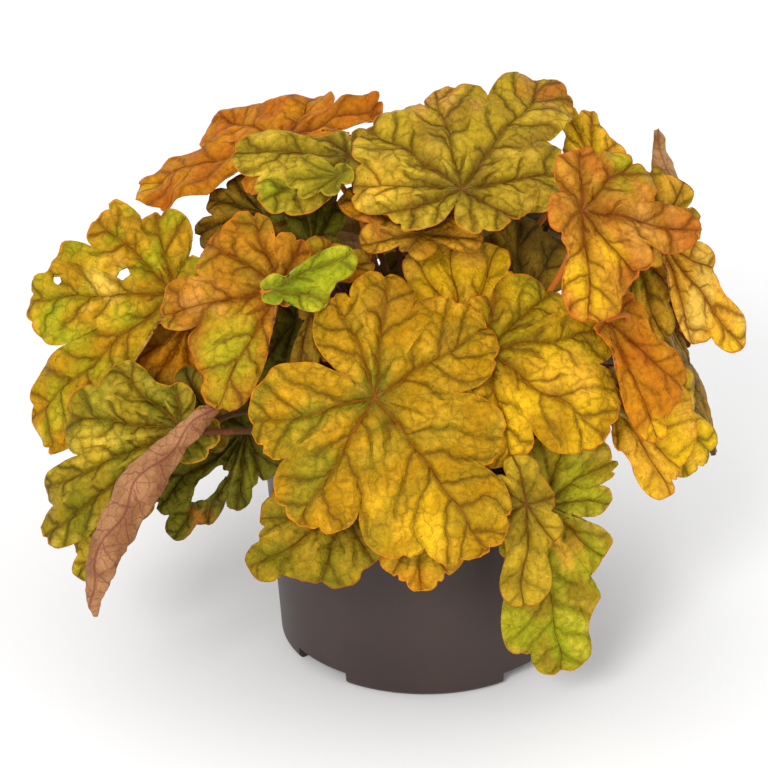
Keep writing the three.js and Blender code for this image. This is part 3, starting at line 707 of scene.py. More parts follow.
def leafTop(tone):
    look = {part: colour(rgb) for part, rgb in leafLooks[tone].items()}
    material, tree, shader = nodesFor("leaf_top_" + tone)
    where, rib, side, fork, net, fine = veinLines(tree)
    away = lengthOf(tree, where)
    across, bold = attribute(tree, "across"), attribute(tree, "bold")
    inSector = line(tree, across, 0.8, 0.95)
    patchy, clouds, mottle = (leafCloud(tree, where, name) for name in ("pale", "other", "mottle"))
    # how strongly the net shows varies over the blade
    netShow = band(tree, leafCloud(tree, where, "netShow"), 0.36, 0.62, 0.2, 0.75)
    ribWide = times(tree, rib, band(tree, away, 8.0, 50.0, 1.0, 2.3))
    ribLine, ribCore = (line(tree, ribWide, *topLines[key]) for key in ("rib", "ribCore"))
    fade = times(tree, band(tree, across, 0.4, 1.0, 1.0, 0.2), inSector)
    sideLine = times(tree, line(tree, side, 0.03, band(tree, rib, 1.0, 14.0, 0.8, 0.4)), fade)
    forkShow = times(tree, band(tree, rib, 4.0, 7.0, 0, 0.75), inSector)
    forkLine = times(tree, line(tree, fork, *topLines["fork"]), forkShow)
    netLine = times(tree, line(tree, net, *topLines["net"]), netShow)
    fineLine = times(tree, line(tree, fine, *topLines["fine"]), 0.2)
    # the ground colour
    ground = mix(tree, times(tree, band(tree, clouds, 0.42, 0.6), 0.6), look["base"], look["other"])
    ground = mix(tree, attribute(tree, "tint", "Alpha"), ground, attribute(tree, "tint", "Color"))
    ground = mix(tree, line(tree, away, 2.0, 15.0, 0.4), ground, look["halo"])
    # between the veins the sheet is paler, in wide soft patches: partly paler tissue, partly a painted
    # highlight on the swell of each cell
    sideFar = mix(tree, inSector, farAway, side)
    inner = band(tree, calc(tree, "MINIMUM", times(tree, rib, 0.7), sideFar), 0.3, 3.4)
    cellInner = band(tree, net, 0.1, 1.7, 0.55, 1.0)
    glow = mix(tree, 0.55, look["bright"], scaled(tree, ground, topShades["pale"]))
    ground = mix(tree, times(tree, inner, cellInner, band(tree, patchy, 0.4, 0.66), 0.9), ground, glow)
    # and darker and greener beside them: partly the greener tissue there, partly painted shade in the grooves
    # along the veins
    forkFar = mix(tree, forkShow, farAway, fork)
    sideNear = line(tree, calc(tree, "MINIMUM", sideFar, forkFar), 0.2, 2.2, 0.62)
    ribNear = line(tree, ribWide, 0.5, 3.6, 0.72)
    netNear = times(tree, line(tree, net, 0.1, 1.1, 0.4), netShow)
    halo = times(tree, largest(tree, sideNear, ribNear, netNear), band(tree, patchy, 0.3, 0.7, 1.0, 0.55),
                 calc(tree, "MULTIPLY_ADD", bold, 0.6, 0.4))
    haloShade = mix(tree, 0.5, look["halo"], scaled(tree, ground, topShades["halo"]))
    shade = mix(tree, halo, ground, haloShade)
    # light and dark mottling
    shade = scaled(tree, shade, topShades["light"], band(tree, mottle, 0.45, 0.75, 0, 0.28))
    shade = scaled(tree, shade, topShades["deep"], band(tree, mottle, 0.55, 0.28, 0, 0.45))
    shade = scaled(tree, shade, topShades["fine"], fineLine)
    # the veins themselves, of which older, thicker blades show less
    veinShade = mix(tree, 0.4, look["vein"], scaled(tree, ground, topShades["vein"]))
    thinShade = mix(tree, 0.5, scaled(tree, ground, topShades["thin"]), look["halo"])
    sideShade = mix(tree, 0.65, thinShade, veinShade)
    shade = mix(tree, times(tree, largest(tree, netLine, forkLine), 0.6, bold), shade, thinShade)
    shade = mix(tree, times(tree, sideLine, 0.78, bold), shade, sideShade)
    shade = mix(tree, times(tree, ribLine, 0.8), shade, veinShade)
    shade = mix(tree, times(tree, ribCore, 0.55), shade, look["rib"])
    # the margin, worn and thin
    ragged = calc(tree, "MULTIPLY_ADD", leafCloud(tree, where, "margin"), 2.2, -0.3)
    edgeLine = line(tree, attribute(tree, "edge"), 0.15, largest(tree, ragged, 0.4))
    shade = mix(tree, times(tree, edgeLine, 0.85), shade, look["margin"])
    speck = band(tree, leafCloud(tree, where, "speck"), 0.76, 0.82)
    shade = mix(tree, times(tree, speck, 0.6), shade, colour(speckShade))
    coat(tree, shader, scaled(tree, shade, topShades["whole"]), band(tree, mottle, 0.2, 0.8, 0.42, 0.6), 0.08)
    height = weighted(tree, (band(tree, net, 0.0, 1.3), 0.4), (band(tree, fine, 0.0, 0.5), 0.16),
                      (band(tree, sideFar, 0.0, 1.3), 0.55), (band(tree, rib, 0.0, 1.3), 0.5),
                      (leafCloud(tree, where, "grain"), 0.08))
    bump(tree, shader, height, 0.7, 0.9)
    return material


def leafUnder(tone):
    look = {part: colour(rgb) for part, rgb in leafLooks[tone].items()}
    material, tree, shader = nodesFor("leaf_under_" + tone)
    where, rib, side, _, net, fine = veinLines(tree)
    ground = mix(tree, leafCloud(tree, where, "under"), look["under"], look["base"])
    ground = mix(tree, 0.35, ground, look["under"])
    worn = band(tree, leafCloud(tree, where, "worn"), 0.4, 0.65)
    ground = scaled(tree, ground, wornShade, worn)
    lines = [line(tree, away, *underLines[key]) for key, away in (("rib", rib), ("side", side), ("net", net))]
    shade = mix(tree, times(tree, largest(tree, *lines), 0.75), ground, look["vein"])
    shade = mix(tree, line(tree, fine, *underLines["fine"]), shade, look["vein"])
    coat(tree, shader, shade, band(tree, net, 0.0, 1.5, 0.5, 0.62), 0.15)
    height = weighted(tree, (line(tree, net, 0.0, 1.2), 0.5), (line(tree, fine, 0.0, 0.4), 0.12),
                      (leafCloud(tree, where, "underGrain"), 0.15))
    bump(tree, shader, height, 0.5, 0.7)
    return material


# The leaves one by one.

def flatLeaf(name, tone, at, face, arch, outline, **more):
    return {"name": name, "tone": tone, "at": at, "face": face, "arch": arch, "outline": outline, **more}


def roundLeaf(name, tone, at, face, arch, size, **more):
    outline = [(clock, share * size) for clock, share in roundOutline]
    return flatLeaf(name, tone, at, face, arch, outline, **more)


# Each blade: where its petiole ends, the compass and elevation it faces, how far it is bent across and along,
# and its outline as (clock angle, reach) of lobe tip, sinus, lobe tip and so on, with the last the notch
# over the petiole. 0 is up the slope. Bend and sway pull the two handles of the petiole's curve.
frontLeaves = [
    flatLeaf("front_main", "gold", at=(-17, -80, 130), face=(0, 32), arch=(14, 16), outline=[
        (338, 37), (346, 35), (4, 42), (22, 32), (56, 45), (86, 25), (106, 44), (122, 42), (143, 63),
        (162, 52), (170, 53), (188, 37), (211, 48), (236, 35), (258, 42), (305, 9)]),
    flatLeaf("right_mid", "gold", at=(19, -64, 139), face=(8, 36), arch=(10, 16), outline=[
        (345, 18), (10, 18), (48, 31), (62, 34), (84, 43), (99, 38), (124, 49), (154, 30), (178, 38),
        (205, 20), (232, 26), (300, 4)], bend=(0, -22, 10), sway=(0, 0, -10)),
    flatLeaf("centre_yellow", "gold", at=(10, -52, 138), face=(5, 40), arch=(10, 12), outline=[
        (300, 24), (322, 22), (338, 34), (348, 32), (0, 37), (14, 32), (28, 36), (38, 31), (50, 30),
        (74, 15), (110, 12), (180, 4), (250, 18), (275, 14)]),
    flatLeaf("top_centre", "green", at=(11, -44, 187), face=(0, 58), arch=(14, 14), outline=[
        (242, 24), (253, 26), (272, 36), (291, 35), (330, 45), (343, 41), (358, 48), (12, 45), (29, 66),
        (49, 37), (72, 37), (105, 24), (132, 19), (204, 3)], bend=(16, 0, 30)),
    flatLeaf("under_top", "olive", at=(-2, -40, 170), face=(0, 45), arch=(10, 14), outline=[
        (216, 9), (240, 9), (262, 20), (282, 18), (298, 30), (325, 16), (350, 22), (20, 14), (52, 18),
        (76, 14), (96, 20), (120, 5)], bend=(-8, 8, 20), sway=(-4, 4, 18)),
    flatLeaf("left_upper_green", "green", at=(-25, -20, 189), face=(-8, 66), arch=(10, 20), outline=[
        (234, 34), (256, 31), (275, 41), (297, 21), (316, 14), (350, 9), (20, 14), (60, 10), (100, 16),
        (190, 4)]),
    flatLeaf("left_upper_tan", "lime", at=(-28, -37, 189), face=(0, 50), arch=(10, 20), outline=[
        (218, 8), (232, 9), (244, 15), (254, 15), (270, 18), (282, 15), (296, 15), (320, 4), (20, 4),
        (180, 3)], bend=(-2, 24, 30), sway=(-4, 12, 15)),
    flatLeaf("left_upper_orange", "orange", at=(-46, 6, 185), face=(-60, 64), arch=(6, 10), outline=[
        (224, 62), (239, 37), (262, 47), (272, 40), (316, 28), (355, 15), (17, 34), (38, 14), (80, 26),
        (115, 14), (150, 26), (192, 10)]),
    flatLeaf("centre_left", "orange", at=(-48, -56, 158), face=(-8, 38), arch=(14, 24), outline=[
        (202, 45), (216, 40), (232, 36), (242, 30), (254, 42), (276, 28), (328, 30), (350, 17), (14, 18),
        (50, 6), (110, 7), (184, 5)], bend=(0, 8, 20)),
    flatLeaf("centre_lime", "lime", at=(-50, -61, 159), face=(0, 30), arch=(10, 10), outline=[
        (64, 29), (82, 22), (100, 18), (128, 5), (270, 4), (46, 7)], bend=(30, 29, 20), sway=(-22, -26, 24)),
    flatLeaf("centre_orange", "orange", at=(-41, -49, 158), face=(0, 58), arch=(10, 10), outline=[
        (340, 13), (0, 11), (32, 19), (52, 18), (70, 25), (95, 10), (130, 9), (250, 3), (290, 6), (320, 7)],
        bend=(8, 8, 10)),
    flatLeaf("left_big", "gold", at=(-83, -34, 146), face=(-18, 32), arch=(14, 14), outline=[
        (215, 74), (240, 43), (260, 59), (272, 52), (284, 48), (290, 36), (310, 43), (322, 30), (336, 30),
        (8, 13), (60, 14), (204, 8)], bend=(0, -24, 10)),
    flatLeaf("left_under", "orange", at=(-79, -26, 133), face=(-10, 30), arch=(10, 20), outline=[
        (180, 26), (192, 24), (205, 32), (216, 30), (230, 31), (256, 6), (330, 10), (20, 6), (80, 12),
        (140, 6)]),
    flatLeaf("left_low", "green", at=(-80, -62, 109), face=(-14, 30), arch=(16, 14), outline=[
        (209, 42), (218, 44), (228, 65), (236, 56), (243, 57), (252, 40), (272, 44), (290, 35), (304, 34),
        (320, 22), (335, 16), (20, 8), (80, 12), (196, 8)], bend=(-8, -32, 10)),
    flatLeaf("left_dark", "dark", at=(-60, -44, 101), face=(-5, 25), arch=(10, 14), outline=[
        (160, 18), (174, 21), (186, 28), (195, 26), (202, 36), (206, 38), (212, 46), (220, 41), (228, 42),
        (255, 8), (300, 12), (60, 4)]),
    flatLeaf("left_dark_upper", "dark", at=(-72, -53, 105), face=(-10, 30), arch=(10, 14), outline=[
        (302, 17), (318, 20), (332, 23), (350, 12), (10, 12), (60, 4), (180, 8), (240, 5)],
        bend=(-24, 8, 0), sway=(-12, 12, 0)),
    flatLeaf("dark_upper_left", "dark", at=(-56, 0, 161), face=(-10, 40), arch=(10, 14), outline=[
        (246, 24), (262, 17), (280, 19), (300, 15), (316, 16), (345, 10), (20, 14), (80, 8), (150, 12),
        (200, 6)], bend=(8, -8, 0)),
    flatLeaf("dark_upper_mid", "dark", at=(-38, -24, 158), face=(0, 36), arch=(10, 14), outline=[
        (290, 12), (315, 12), (344, 17), (354, 16), (4, 18), (16, 15), (28, 18), (60, 8), (100, 10),
        (150, 6), (200, 10), (245, 6)]),
    flatLeaf("dark_upper_back", "dark", at=(-42, -8, 168), face=(0, 40), arch=(10, 14), outline=[
        (252, 13), (270, 14), (288, 18), (310, 12), (330, 16), (0, 10), (30, 14), (120, 4), (180, 8),
        (215, 5)]),
    flatLeaf("right_top", "salmon", at=(48, -66, 189), face=(10, 38), arch=(14, 18), outline=[
        (8, 21), (24, 17), (52, 27), (86, 23), (104, 40), (122, 22), (140, 28), (162, 31), (180, 36),
        (202, 16), (226, 11), (325, 8)], bend=(14, -20, -2), sway=(4, 4, 3)),
    flatLeaf("right_edge", "orange", at=(76, -34, 165), face=(18, 22), arch=(8, 10), outline=[
        (60, 8), (98, 13), (122, 22), (134, 34), (146, 48), (155, 39), (163, 38), (173, 8), (240, 9),
        (290, 6), (330, 10), (20, 6)], bend=(-14, -30, 0), sway=(30, 10, 18)),
    flatLeaf("right_back_top", "olive", at=(79, -13, 161), face=(15, 45), arch=(10, 14), outline=[
        (2, 22), (16, 20), (34, 20), (60, 12), (90, 14), (140, 6), (180, 10), (230, 5), (280, 12), (320, 9)]),
    flatLeaf("right_back_olive", "olive", at=(68, -28, 159), face=(15, 30), arch=(10, 14), outline=[
        (140, 20), (152, 22), (166, 32), (178, 30), (190, 28), (220, 12), (240, 14), (300, 5), (30, 10),
        (90, 6)]),
    flatLeaf("right_low_fold", "orange", at=(58, -56, 146), face=(28, 30), arch=(16, 14), outline=[
        (70, 14), (116, 21), (138, 37), (156, 40), (164, 45), (180, 12), (230, 5), (270, 4), (320, 7),
        (20, 7)], bend=(35, -21, 1), sway=(29, -23, 33)),
    flatLeaf("right_low_yellow", "lime", at=(74, -42, 112), face=(28, 28), arch=(12, 14), outline=[
        (92, 19), (118, 19), (140, 32), (152, 31), (162, 31), (182, 6), (240, 8), (300, 4), (20, 10),
        (50, 8)]),
    flatLeaf("right_low_front", "gold", at=(62, -50, 114), face=(14, 26), arch=(16, 14), outline=[
        (140, 34), (148, 34), (154, 38), (168, 26), (180, 16), (190, 5), (300, 6), (60, 5)]),
    flatLeaf("right_pale", "olive", at=(61, -50, 122), face=(14, 20), arch=(10, 14), outline=[
        (142, 21), (152, 17), (162, 14), (180, 3), (320, 4), (100, 4)], bend=(8, 0, 0)),
    flatLeaf("top_right_yellow", "gold", at=(55, -6, 178), face=(8, 50), arch=(10, 14), outline=[
        (312, 12), (338, 18), (352, 27), (358, 23), (8, 24), (16, 21), (40, 16), (80, 8), (120, 12),
        (240, 5)], bend=(-6, -30, -2), sway=(-18, 2, 10)),
    flatLeaf("right_hang", "green", at=(37, -66, 84), face=(14, 8), arch=(10, 6), outline=[
        (66, 30), (80, 21), (98, 26), (115, 12), (126, 32), (148, 34), (150, 43), (160, 55), (172, 67),
        (182, 57), (187, 55), (200, 28), (214, 21), (235, 12), (290, 16), (330, 6)],
        bend=(8, -16, 10), sway=(-4, -8, 5)),
    flatLeaf("right_hang_fold", "olive", at=(32, -83, 93), face=(5, 8), arch=(10, 6), outline=[
        (344, 17), (20, 12), (76, 9), (110, 9), (146, 16), (160, 21), (180, 38), (200, 21), (244, 10),
        (270, 9), (300, 14), (326, 12)]),
    flatLeaf("low_left", "olive", at=(-27, -79, 88), face=(-5, 38), arch=(14, 20), outline=[
        (148, 19), (162, 21), (196, 25), (222, 30), (238, 37), (250, 31), (262, 28), (320, 4), (20, 6),
        (110, 5)], bend=(10, -10, 30), sway=(-10, -10, -10)),
    flatLeaf("low_mid", "gold", at=(-2, -80, 83), face=(5, 30), arch=(14, 20), outline=[
        (150, 18), (165, 19), (182, 21), (198, 19), (214, 18), (300, 4), (0, 6), (60, 4)], bend=(-8, -8, 20)),
    flatLeaf("dark_inner_right", "dark", at=(31, -31, 142), face=(5, 40), arch=(10, 14), outline=[
        (340, 25), (352, 26), (4, 28), (22, 27), (36, 26), (80, 10), (110, 16), (180, 5), (260, 16),
        (310, 12)]),
    flatLeaf("inner_tan", "tan", at=(-38, -46, 145), face=(0, 10), arch=(10, 10), outline=[
        (166, 18), (178, 20), (188, 24), (210, 4), (320, 4), (60, 4)], bend=(16, -8, 0)),
    flatLeaf("dark_inner_left", "dark", at=(-43, -40, 139), face=(0, 25), arch=(10, 14), outline=[
        (198, 24), (208, 22), (218, 25), (260, 8), (320, 8), (150, 6)]),
    flatLeaf("left_low_back", "olive", at=(-100, -48, 76), face=(-15, 20), arch=(10, 14), outline=[
        (208, 34), (219, 28), (229, 26), (262, 8), (320, 10), (192, 5)]),
]

# the outline of the blades that have none of their own, as shares of their size
roundOutline = [(252, 0.9), (288, 0.52), (308, 0.78), (0, 0.1), (52, 0.78), (72, 0.52), (108, 0.9),
                (138, 0.62), (180, 1), (222, 0.62)]

farRows = [
    # name, tone, direction, reach, height, size and elevation, and a bend of the petiole
    ("far_1", "orange", 20, 84, 127, 34, 34),
    ("far_2", "gold", 42, 70, 153, 34, 48),
    ("far_3", "green", 66, 88, 127, 40, 30),
    ("far_4", "olive", 86, 58, 155, 34, 52),
    ("far_5", "gold", 113, 93, 119, 40, 28, (8, 0, 0)),
    ("far_6", "orange", 140, 70, 147, 33, 44),
    ("far_7", "green", 166, 90, 119, 36, 32, (0, 10, 6)),
    ("far_8", "green", 30, 80, 95, 38, 14),
    ("far_9", "olive", 80, 82, 91, 42, 10),
    ("far_10", "gold", 130, 82, 91, 42, 12),
    ("far_11", "green", 172, 96, 99, 34, 26),
    ("far_12", "olive", 0, 92, 103, 34, 26),
    ("middle_1", "green", 52, 35, 180, 30, 64),
    ("middle_2", "olive", 116, 34, 178, 29, 66),
    ("middle_3", "olive", 16, 48, 165, 24, 50),
    ("middle_4", "dark", 176, 58, 143, 24, 44),
]

rolledLeaves = [
    {"name": "left_roll", "tone": "pink",
     "spine": [(-67, -66, 122), (-78, -74, 115), (-90, -82, 105), (-100, -88, 91), (-107, -92, 77),
               (-109, -93, 65), (-109, -92, 56)],
     "halfWidths": (2.2, 5, 8.5, 9, 7.5, 4.5, 1.5), "face": (-20, 10), "roll": 150, "seatAngle": -50,
     "bend": (8, -38, -10), "rows": 64, "columns": 30},
    {"name": "right_fold_tip", "tone": "tan",
     "spine": [(86, 2, 140), (86, 3, 152), (85, 4, 164), (81, 6, 177), (78, 7, 188)],
     "halfWidths": (9, 9, 8, 5, 1.2), "face": (40, 10), "roll": 120, "seatAngle": 0,
     "bend": (-8, 0, 0), "rows": 40, "columns": 22},
]

# a small leaf that is still opening over the crown
youngLeaf = roundLeaf(
    "young_1", "dark", at=(-16, 36, 120), face=(4, 30), arch=(16, 12), size=15.5, young=True)

# The plant's colours by name.
palette = {
    "gold": (180, 134, 8), "amber": (208, 140, 20), "yellow": (242, 194, 30), "honey": (238, 180, 62),
    "cream": (242, 200, 100), "ivory": (232, 216, 150), "straw": (202, 170, 48), "olive": (160, 136, 30),
    "lime": (152, 166, 20), "paleLime": (176, 176, 34), "green": (126, 124, 20), "moss": (116, 112, 36),
    "copper": (176, 122, 26), "orange": (188, 106, 18), "rust": (192, 106, 44), "peach": (206, 146, 82),
    "bronze": (170, 132, 40), "umber": (126, 98, 34),
}

# What is particular to a blade: the clock angles of its main veins, the two colours washed over it, of which
# the second drifts through the first in clouds, and how strongly, a few broad marks as (colour, clock angle,
# distance, size), any holes as (clock angle, distance, half length, half width, turn), and how boldly its
# veins show and how crumpled it is, each 1 if nothing is said.
leafPaint = {
    "front_main": {
        "ribs": (340, 5, 56, 143, 211, 258), "wash": ("gold", "olive", 0.65),
        "marks": [("green", 0, 0, 14), ("copper", 20, 38, 24),
                  ("green", 240, 30, 24), ("yellow", 160, 45, 18)]},
    "left_big": {
        "ribs": (225, 262, 302, 333), "wash": ("gold", "lime", 0.65),
        "holes": [(270, 46, 2.2, 2.0, 20), (281, 20, 2.6, 1.7, 60)],
        "marks": [("lime", 250, 50, 18), ("cream", 270, 26, 12), ("copper", 310, 30, 14)]},
    "right_mid": {
        "ribs": (12, 50, 83, 128, 172, 232), "wash": ("gold", "yellow", 0.65),
        "marks": [("green", 40, 26, 34), ("honey", 110, 30, 14), ("yellow", 145, 22, 12)]},
    "top_centre": {
        "ribs": (250, 279, 315, 350, 29, 74, 120), "wash": ("straw", "bronze", 0.65), "crumple": 1.4,
        "marks": [("rust", 30, 60, 15), ("peach", 350, 42, 15), ("honey", 275, 28, 13)]},
    # its peach mark is partly the blade's pinkish tan, partly a painted sheen of the sky on its cells
    "right_top": {
        "ribs": (8, 50, 103, 143, 180), "wash": ("copper", "rust", 0.65), "crumple": 2.2,
        "marks": [("lime", 50, 24, 18), ("peach", 105, 20, 14), ("yellow", 180, 22, 20)]},
    # its peach mark is partly the blade's pinkish tan, partly a painted sheen of the sky on its cells
    "centre_left": {
        "ribs": (205, 254, 300, 335, 20), "wash": ("copper", "olive", 0.7), "crumple": 1.7,
        "marks": [("paleLime", 215, 30, 22), ("peach", 260, 28, 11)]},
    # painted light: its wash is lighter than the blade's own colour, to brighten a blade that lies in shade
    "right_hang": {
        "ribs": (30, 66, 98, 136, 172, 235, 290), "wash": ("paleLime", "olive", 0.75), "bold": 0.35,
        "marks": [("honey", 155, 20, 10), ("lime", 170, 55, 14), ("umber", 115, 18, 6)]},
    "left_low": {"wash": ("olive", "green", 0.7), "marks": [("straw", 255, 32, 13)]},
    "left_dark": {
        "wash": ("moss", "green", 0.85), "holes": [(212, 23, 8, 3, 42)], "marks": [("rust", 205, 36, 7)]},
    "left_upper_orange": {
        "wash": ("orange", "amber", 0.8), "bold": 0.7, "crumple": 1.7, "marks": [("yellow", 220, 56, 8)]},
    "left_upper_green": {"wash": ("olive", "straw", 0.8), "marks": [("lime", 235, 30, 13)]},
    "right_low_fold": {"wash": ("amber", "orange", 0.85), "bold": 0.5, "marks": [("yellow", 163, 44, 11)]},
    # painted light: its wash is lighter than the blade's own colour, to brighten a blade that lies in shade
    "right_edge": {"wash": ("honey", "cream", 0.9), "marks": [("yellow", 150, 44, 9)]},
    "under_top": {"wash": ("amber", "honey", 0.85), "marks": [("rust", 290, 16, 10)]},
    # painted light: its wash is lighter than the blade's own yellow and its veins fainter, to brighten it in
    # the shade of the leaves above
    "centre_yellow": {"wash": ("yellow", "honey", 0.95), "bold": 0.55},
    "right_low_front": {"wash": ("honey", "yellow", 0.85), "bold": 0.5},
    "right_low_yellow": {"wash": ("yellow", "honey", 0.85)},
    "right_back_olive": {"wash": ("honey", "straw", 0.8)},
    "right_back_top": {"wash": ("honey", "straw", 0.85)},
    # painted light: its wash is lighter than the blade's own colour, to brighten a blade that lies in shade
    "right_hang_fold": {"wash": ("straw", "olive", 0.85), "bold": 0.4},
    "top_right_yellow": {"wash": ("yellow", "honey", 0.9)},
    "low_left": {"wash": ("olive", "green", 0.8), "bold": 0.5},
    "low_mid": {"wash": ("amber", "straw", 0.8), "bold": 0.5},
    "left_upper_tan": {"wash": ("straw", "olive", 0.8)},
    "left_low_back": {"wash": ("straw", "paleLime", 0.85)},
    "centre_lime": {"wash": ("paleLime", "lime", 0.8)},
    "centre_orange": {"wash": ("amber", "straw", 0.8)},
    "left_under": {"wash": ("amber", "bronze", 0.8)},
    "inner_tan": {"wash": ("bronze", "straw", 0.85)},
    "dark_upper_left": {"wash": ("bronze", "copper", 0.9)},
    "left_dark_upper": {"wash": ("bronze", "moss", 0.85)},
    "dark_upper_mid": {"wash": ("green", "moss", 0.85)},
    "dark_inner_right": {"wash": ("umber", "bronze", 0.85)},
    "dark_upper_back": {"wash": ("green", "moss", 0.85)},
    "dark_inner_left": {"wash": ("green", "moss", 0.85)},
    "right_pale": {"wash": ("ivory", "straw", 0.9)},
    "young_1": {"wash": ("umber", "moss", 0.85)},
}


# Making the blades.

def bladePiece(leaf, number):
    rolled = "spine" in leaf
    mesh = (rolledBlade if rolled else flatBlade)(leaf, 10 * number)
    mesh.name = "blade_" + leaf["name"]
    smooth(mesh)
    top, under = toneMaterials[leaf["tone"]]
    nodes = [] if leaf.get("young") else ["leaf_" + leaf["name"]]
    piece = addPiece(mesh.name, mesh, nodes, (under if rolled else top, under))
    piece.modifiers.new("puckers", "NODES").node_group = puckerGroup
    wall = piece.modifiers.new("thickness", "SOLIDIFY")
    wall.thickness = bladeSizes["thickness"] * mm
    wall.offset = -1
    wall.material_offset = 1
    wall.material_offset_rim = 0


def farLeaf(name, tone, direction, reach, z, size, elevation, bend=(0, 0, 0)):
    a = math.radians(direction)
    at = (round(reach * math.cos(a)), round(reach * math.sin(a)), z)
    return roundLeaf(name, tone, at, (direction + 90, elevation), (14, 16), size, bend=bend, detail="far")


puckerGroup = puckers()
toneMaterials = {tone: (leafTop(tone), leafUnder(tone)) for tone in leafLooks}
allLeaves = frontLeaves + [farLeaf(*row) for row in farRows] + rolledLeaves + [youngLeaf]
for number, leaf in enumerate(allLeaves):
    bladePiece(leaf, number)
print("blades:", len(allLeaves))


# The petioles and the woody crown.

petioleSizes = {
    "footRadius": 1.35, "seatRadius": 0.85,
    "footRing": 17, "footRise": 2.5, "footHeight": 8,  # of the feet, about the crown
    "footLean": 26,  # the greater, the more upright they leave the crown
    "gap": 0.75,  # from the petiole's end to the middle of the blade
    "levelHeight": 123, "levelSpan": 60,  # blades above this height are reached from below
    "footHandle": 0.38, "seatHandle": 0.32,  # of the petiole's span
}
petioleShades = {
    "red": (96, 42, 26), "brown": (88, 62, 28), "streak": (132, 70, 44),
    "outmost": (184, 104, 30), "outmostFrom": (155, 165),  # from the middle of the pot's foot
}
crownSizes = {"radius": 19, "height": 13, "cut": -0.2}  # cut off below this share of its height
crownShades = {"dark": (58, 38, 26), "light": (120, 84, 54)}


def seatOf(leaf):
    # where the petiole ends, and which way the blade faces there
    if "spine" not in leaf:
        return np.array(leaf["at"], float), facing(*leaf["face"])
    spine = np.array(leaf["spine"], float)
    along = unit(spine[2] - spine[0])
    out = facing(*leaf["face"])
    out = unit(out - (out @ along) * along)
    turn = math.radians(leaf["seatAngle"])
    normal = out * math.cos(turn) + np.cross(along, out) * math.sin(turn)
    curl = 2 * leaf["halfWidths"][1] / math.radians(leaf["roll"])
    return spine[1] + (normal - out) * curl, normal


def petioleHandles(leaf):
    s = petioleSizes
    seat, normal = seatOf(leaf)
    bend = np.array(leaf.get("bend", (0, 0, 0)), float)
    sway = np.array(leaf.get("sway", bend / 2), float)
    aim = unit(seat - (0, 0, soilLevel))
    foot = aim * (s["footRing"], s["footRing"], s["footHeight"]) + (0, 0, soilLevel + s["footRise"])
    arrive = unit(normal + (0, 0, min(max((seat[2] - s["levelHeight"]) / s["levelSpan"], -0.8), 0.8)))
    end = seat - s["gap"] * normal
    span = np.linalg.norm(end - foot)
    leave = unit(np.array([foot[0], foot[1], s["footLean"]]))
    first = foot + s["footHandle"] * span * leave + bend
    return foot, first, end - s["seatHandle"] * span * arrive + sway, end


def petiolePiece():
    curve = bpy.data.curves.new("petioles", "CURVE")
    curve.dimensions = "3D"
    curve.resolution_u = 14
    curve.bevel_depth = mm
    curve.bevel_resolution = 2
    curve.use_fill_caps = True
    for leaf in allLeaves:
        foot, first, second, end = (Vector(p) * mm for p in petioleHandles(leaf))
        spline = curve.splines.new("BEZIER")
        spline.bezier_points.add(1)
        start, stop = spline.bezier_points
        for point in (start, stop):
            point.handle_left_type = point.handle_right_type = "FREE"
        start.co, start.handle_right, start.handle_left = foot, first, foot * 2 - first
        stop.co, stop.handle_left, stop.handle_right = end, second, end * 2 - second
        start.radius, stop.radius = petioleSizes["footRadius"], petioleSizes["seatRadius"]
    mesh = finishedMesh(newObject("petiole_paths", curve))
    bpy.data.curves.remove(curve)
    smooth(mesh, 50)
    addPiece("petiole_stems", mesh, ["crown"], [petioleSkin()])


def petioleSkin():
    s = petioleShades
    material, tree, shader = nodesFor("petiole_skin")
    where = objectPlace(tree)
    streak = noise(tree, where, 260, 3.0, 0.6)
    blotch = noise(tree, where, 45, 2.0, 0.5)
    shade = mix(tree, band(tree, blotch, 0.35, 0.65), colour(s["red"]), colour(s["brown"]))
    shade = mix(tree, band(tree, streak, 0.5, 0.75), shade, colour(s["streak"]))
    # the outermost ones are as warm as their blades
    near, far = s["outmostFrom"]
    shade = mix(tree, band(tree, lengthOf(tree, where), near * mm, far * mm), shade, colour(s["outmost"]))
    coat(tree, shader, shade, band(tree, streak, 0.3, 0.8, 0.45, 0.65), 0.15)
    bump(tree, shader, noise(tree, where, 900, 2.0), 0.2, 0.5)
    return material


def crownPiece():
    s = crownSizes
    bm = bmesh.new()
    bmesh.ops.create_uvsphere(bm, u_segments=48, v_segments=24, radius=1)
    ball = bm.verts[:] + bm.edges[:] + bm.faces[:]
    bmesh.ops.bisect_plane(bm, geom=ball, plane_co=(0, 0, s["cut"]), plane_no=(0, 0, -1), clear_outer=True)
    bmesh.ops.holes_fill(bm, edges=[e for e in bm.edges if e.is_boundary], sides=0)
    for vert in bm.verts:
        turn = math.atan2(vert.co.y, vert.co.x)
        knob = 1 + 0.05 * math.sin(7 * turn + 5 * vert.co.z) + 0.04 * math.sin(13 * turn - 9 * vert.co.z)
        wide = s["radius"] * knob
        vert.co = Vector((vert.co.x * wide, vert.co.y * wide, soilLevel + vert.co.z * s["height"])) * mm
    bmesh.ops.recalc_face_normals(bm, faces=bm.faces)
    mesh = toMesh("crown_wood", bm)
    smooth(mesh, 50)
    material, tree, shader = nodesFor("crown_wood")
    where = objectPlace(tree)
    grain = noise(tree, where, 220, 4.0, 0.65)
    dark, light = (colour(crownShades[key]) for key in ("dark", "light"))
    shade = mix(tree, band(tree, grain, 0.35, 0.7), dark, light)
    coat(tree, shader, shade, band(tree, grain, 0.3, 0.8, 0.7, 0.9))
    bump(tree, shader, grain, 1.2, 0.8)
    addPiece("crown_wood", mesh, ["crown"], [material])


petiolePiece()
crownPiece()
print("crown and petioles done")


# The pot.

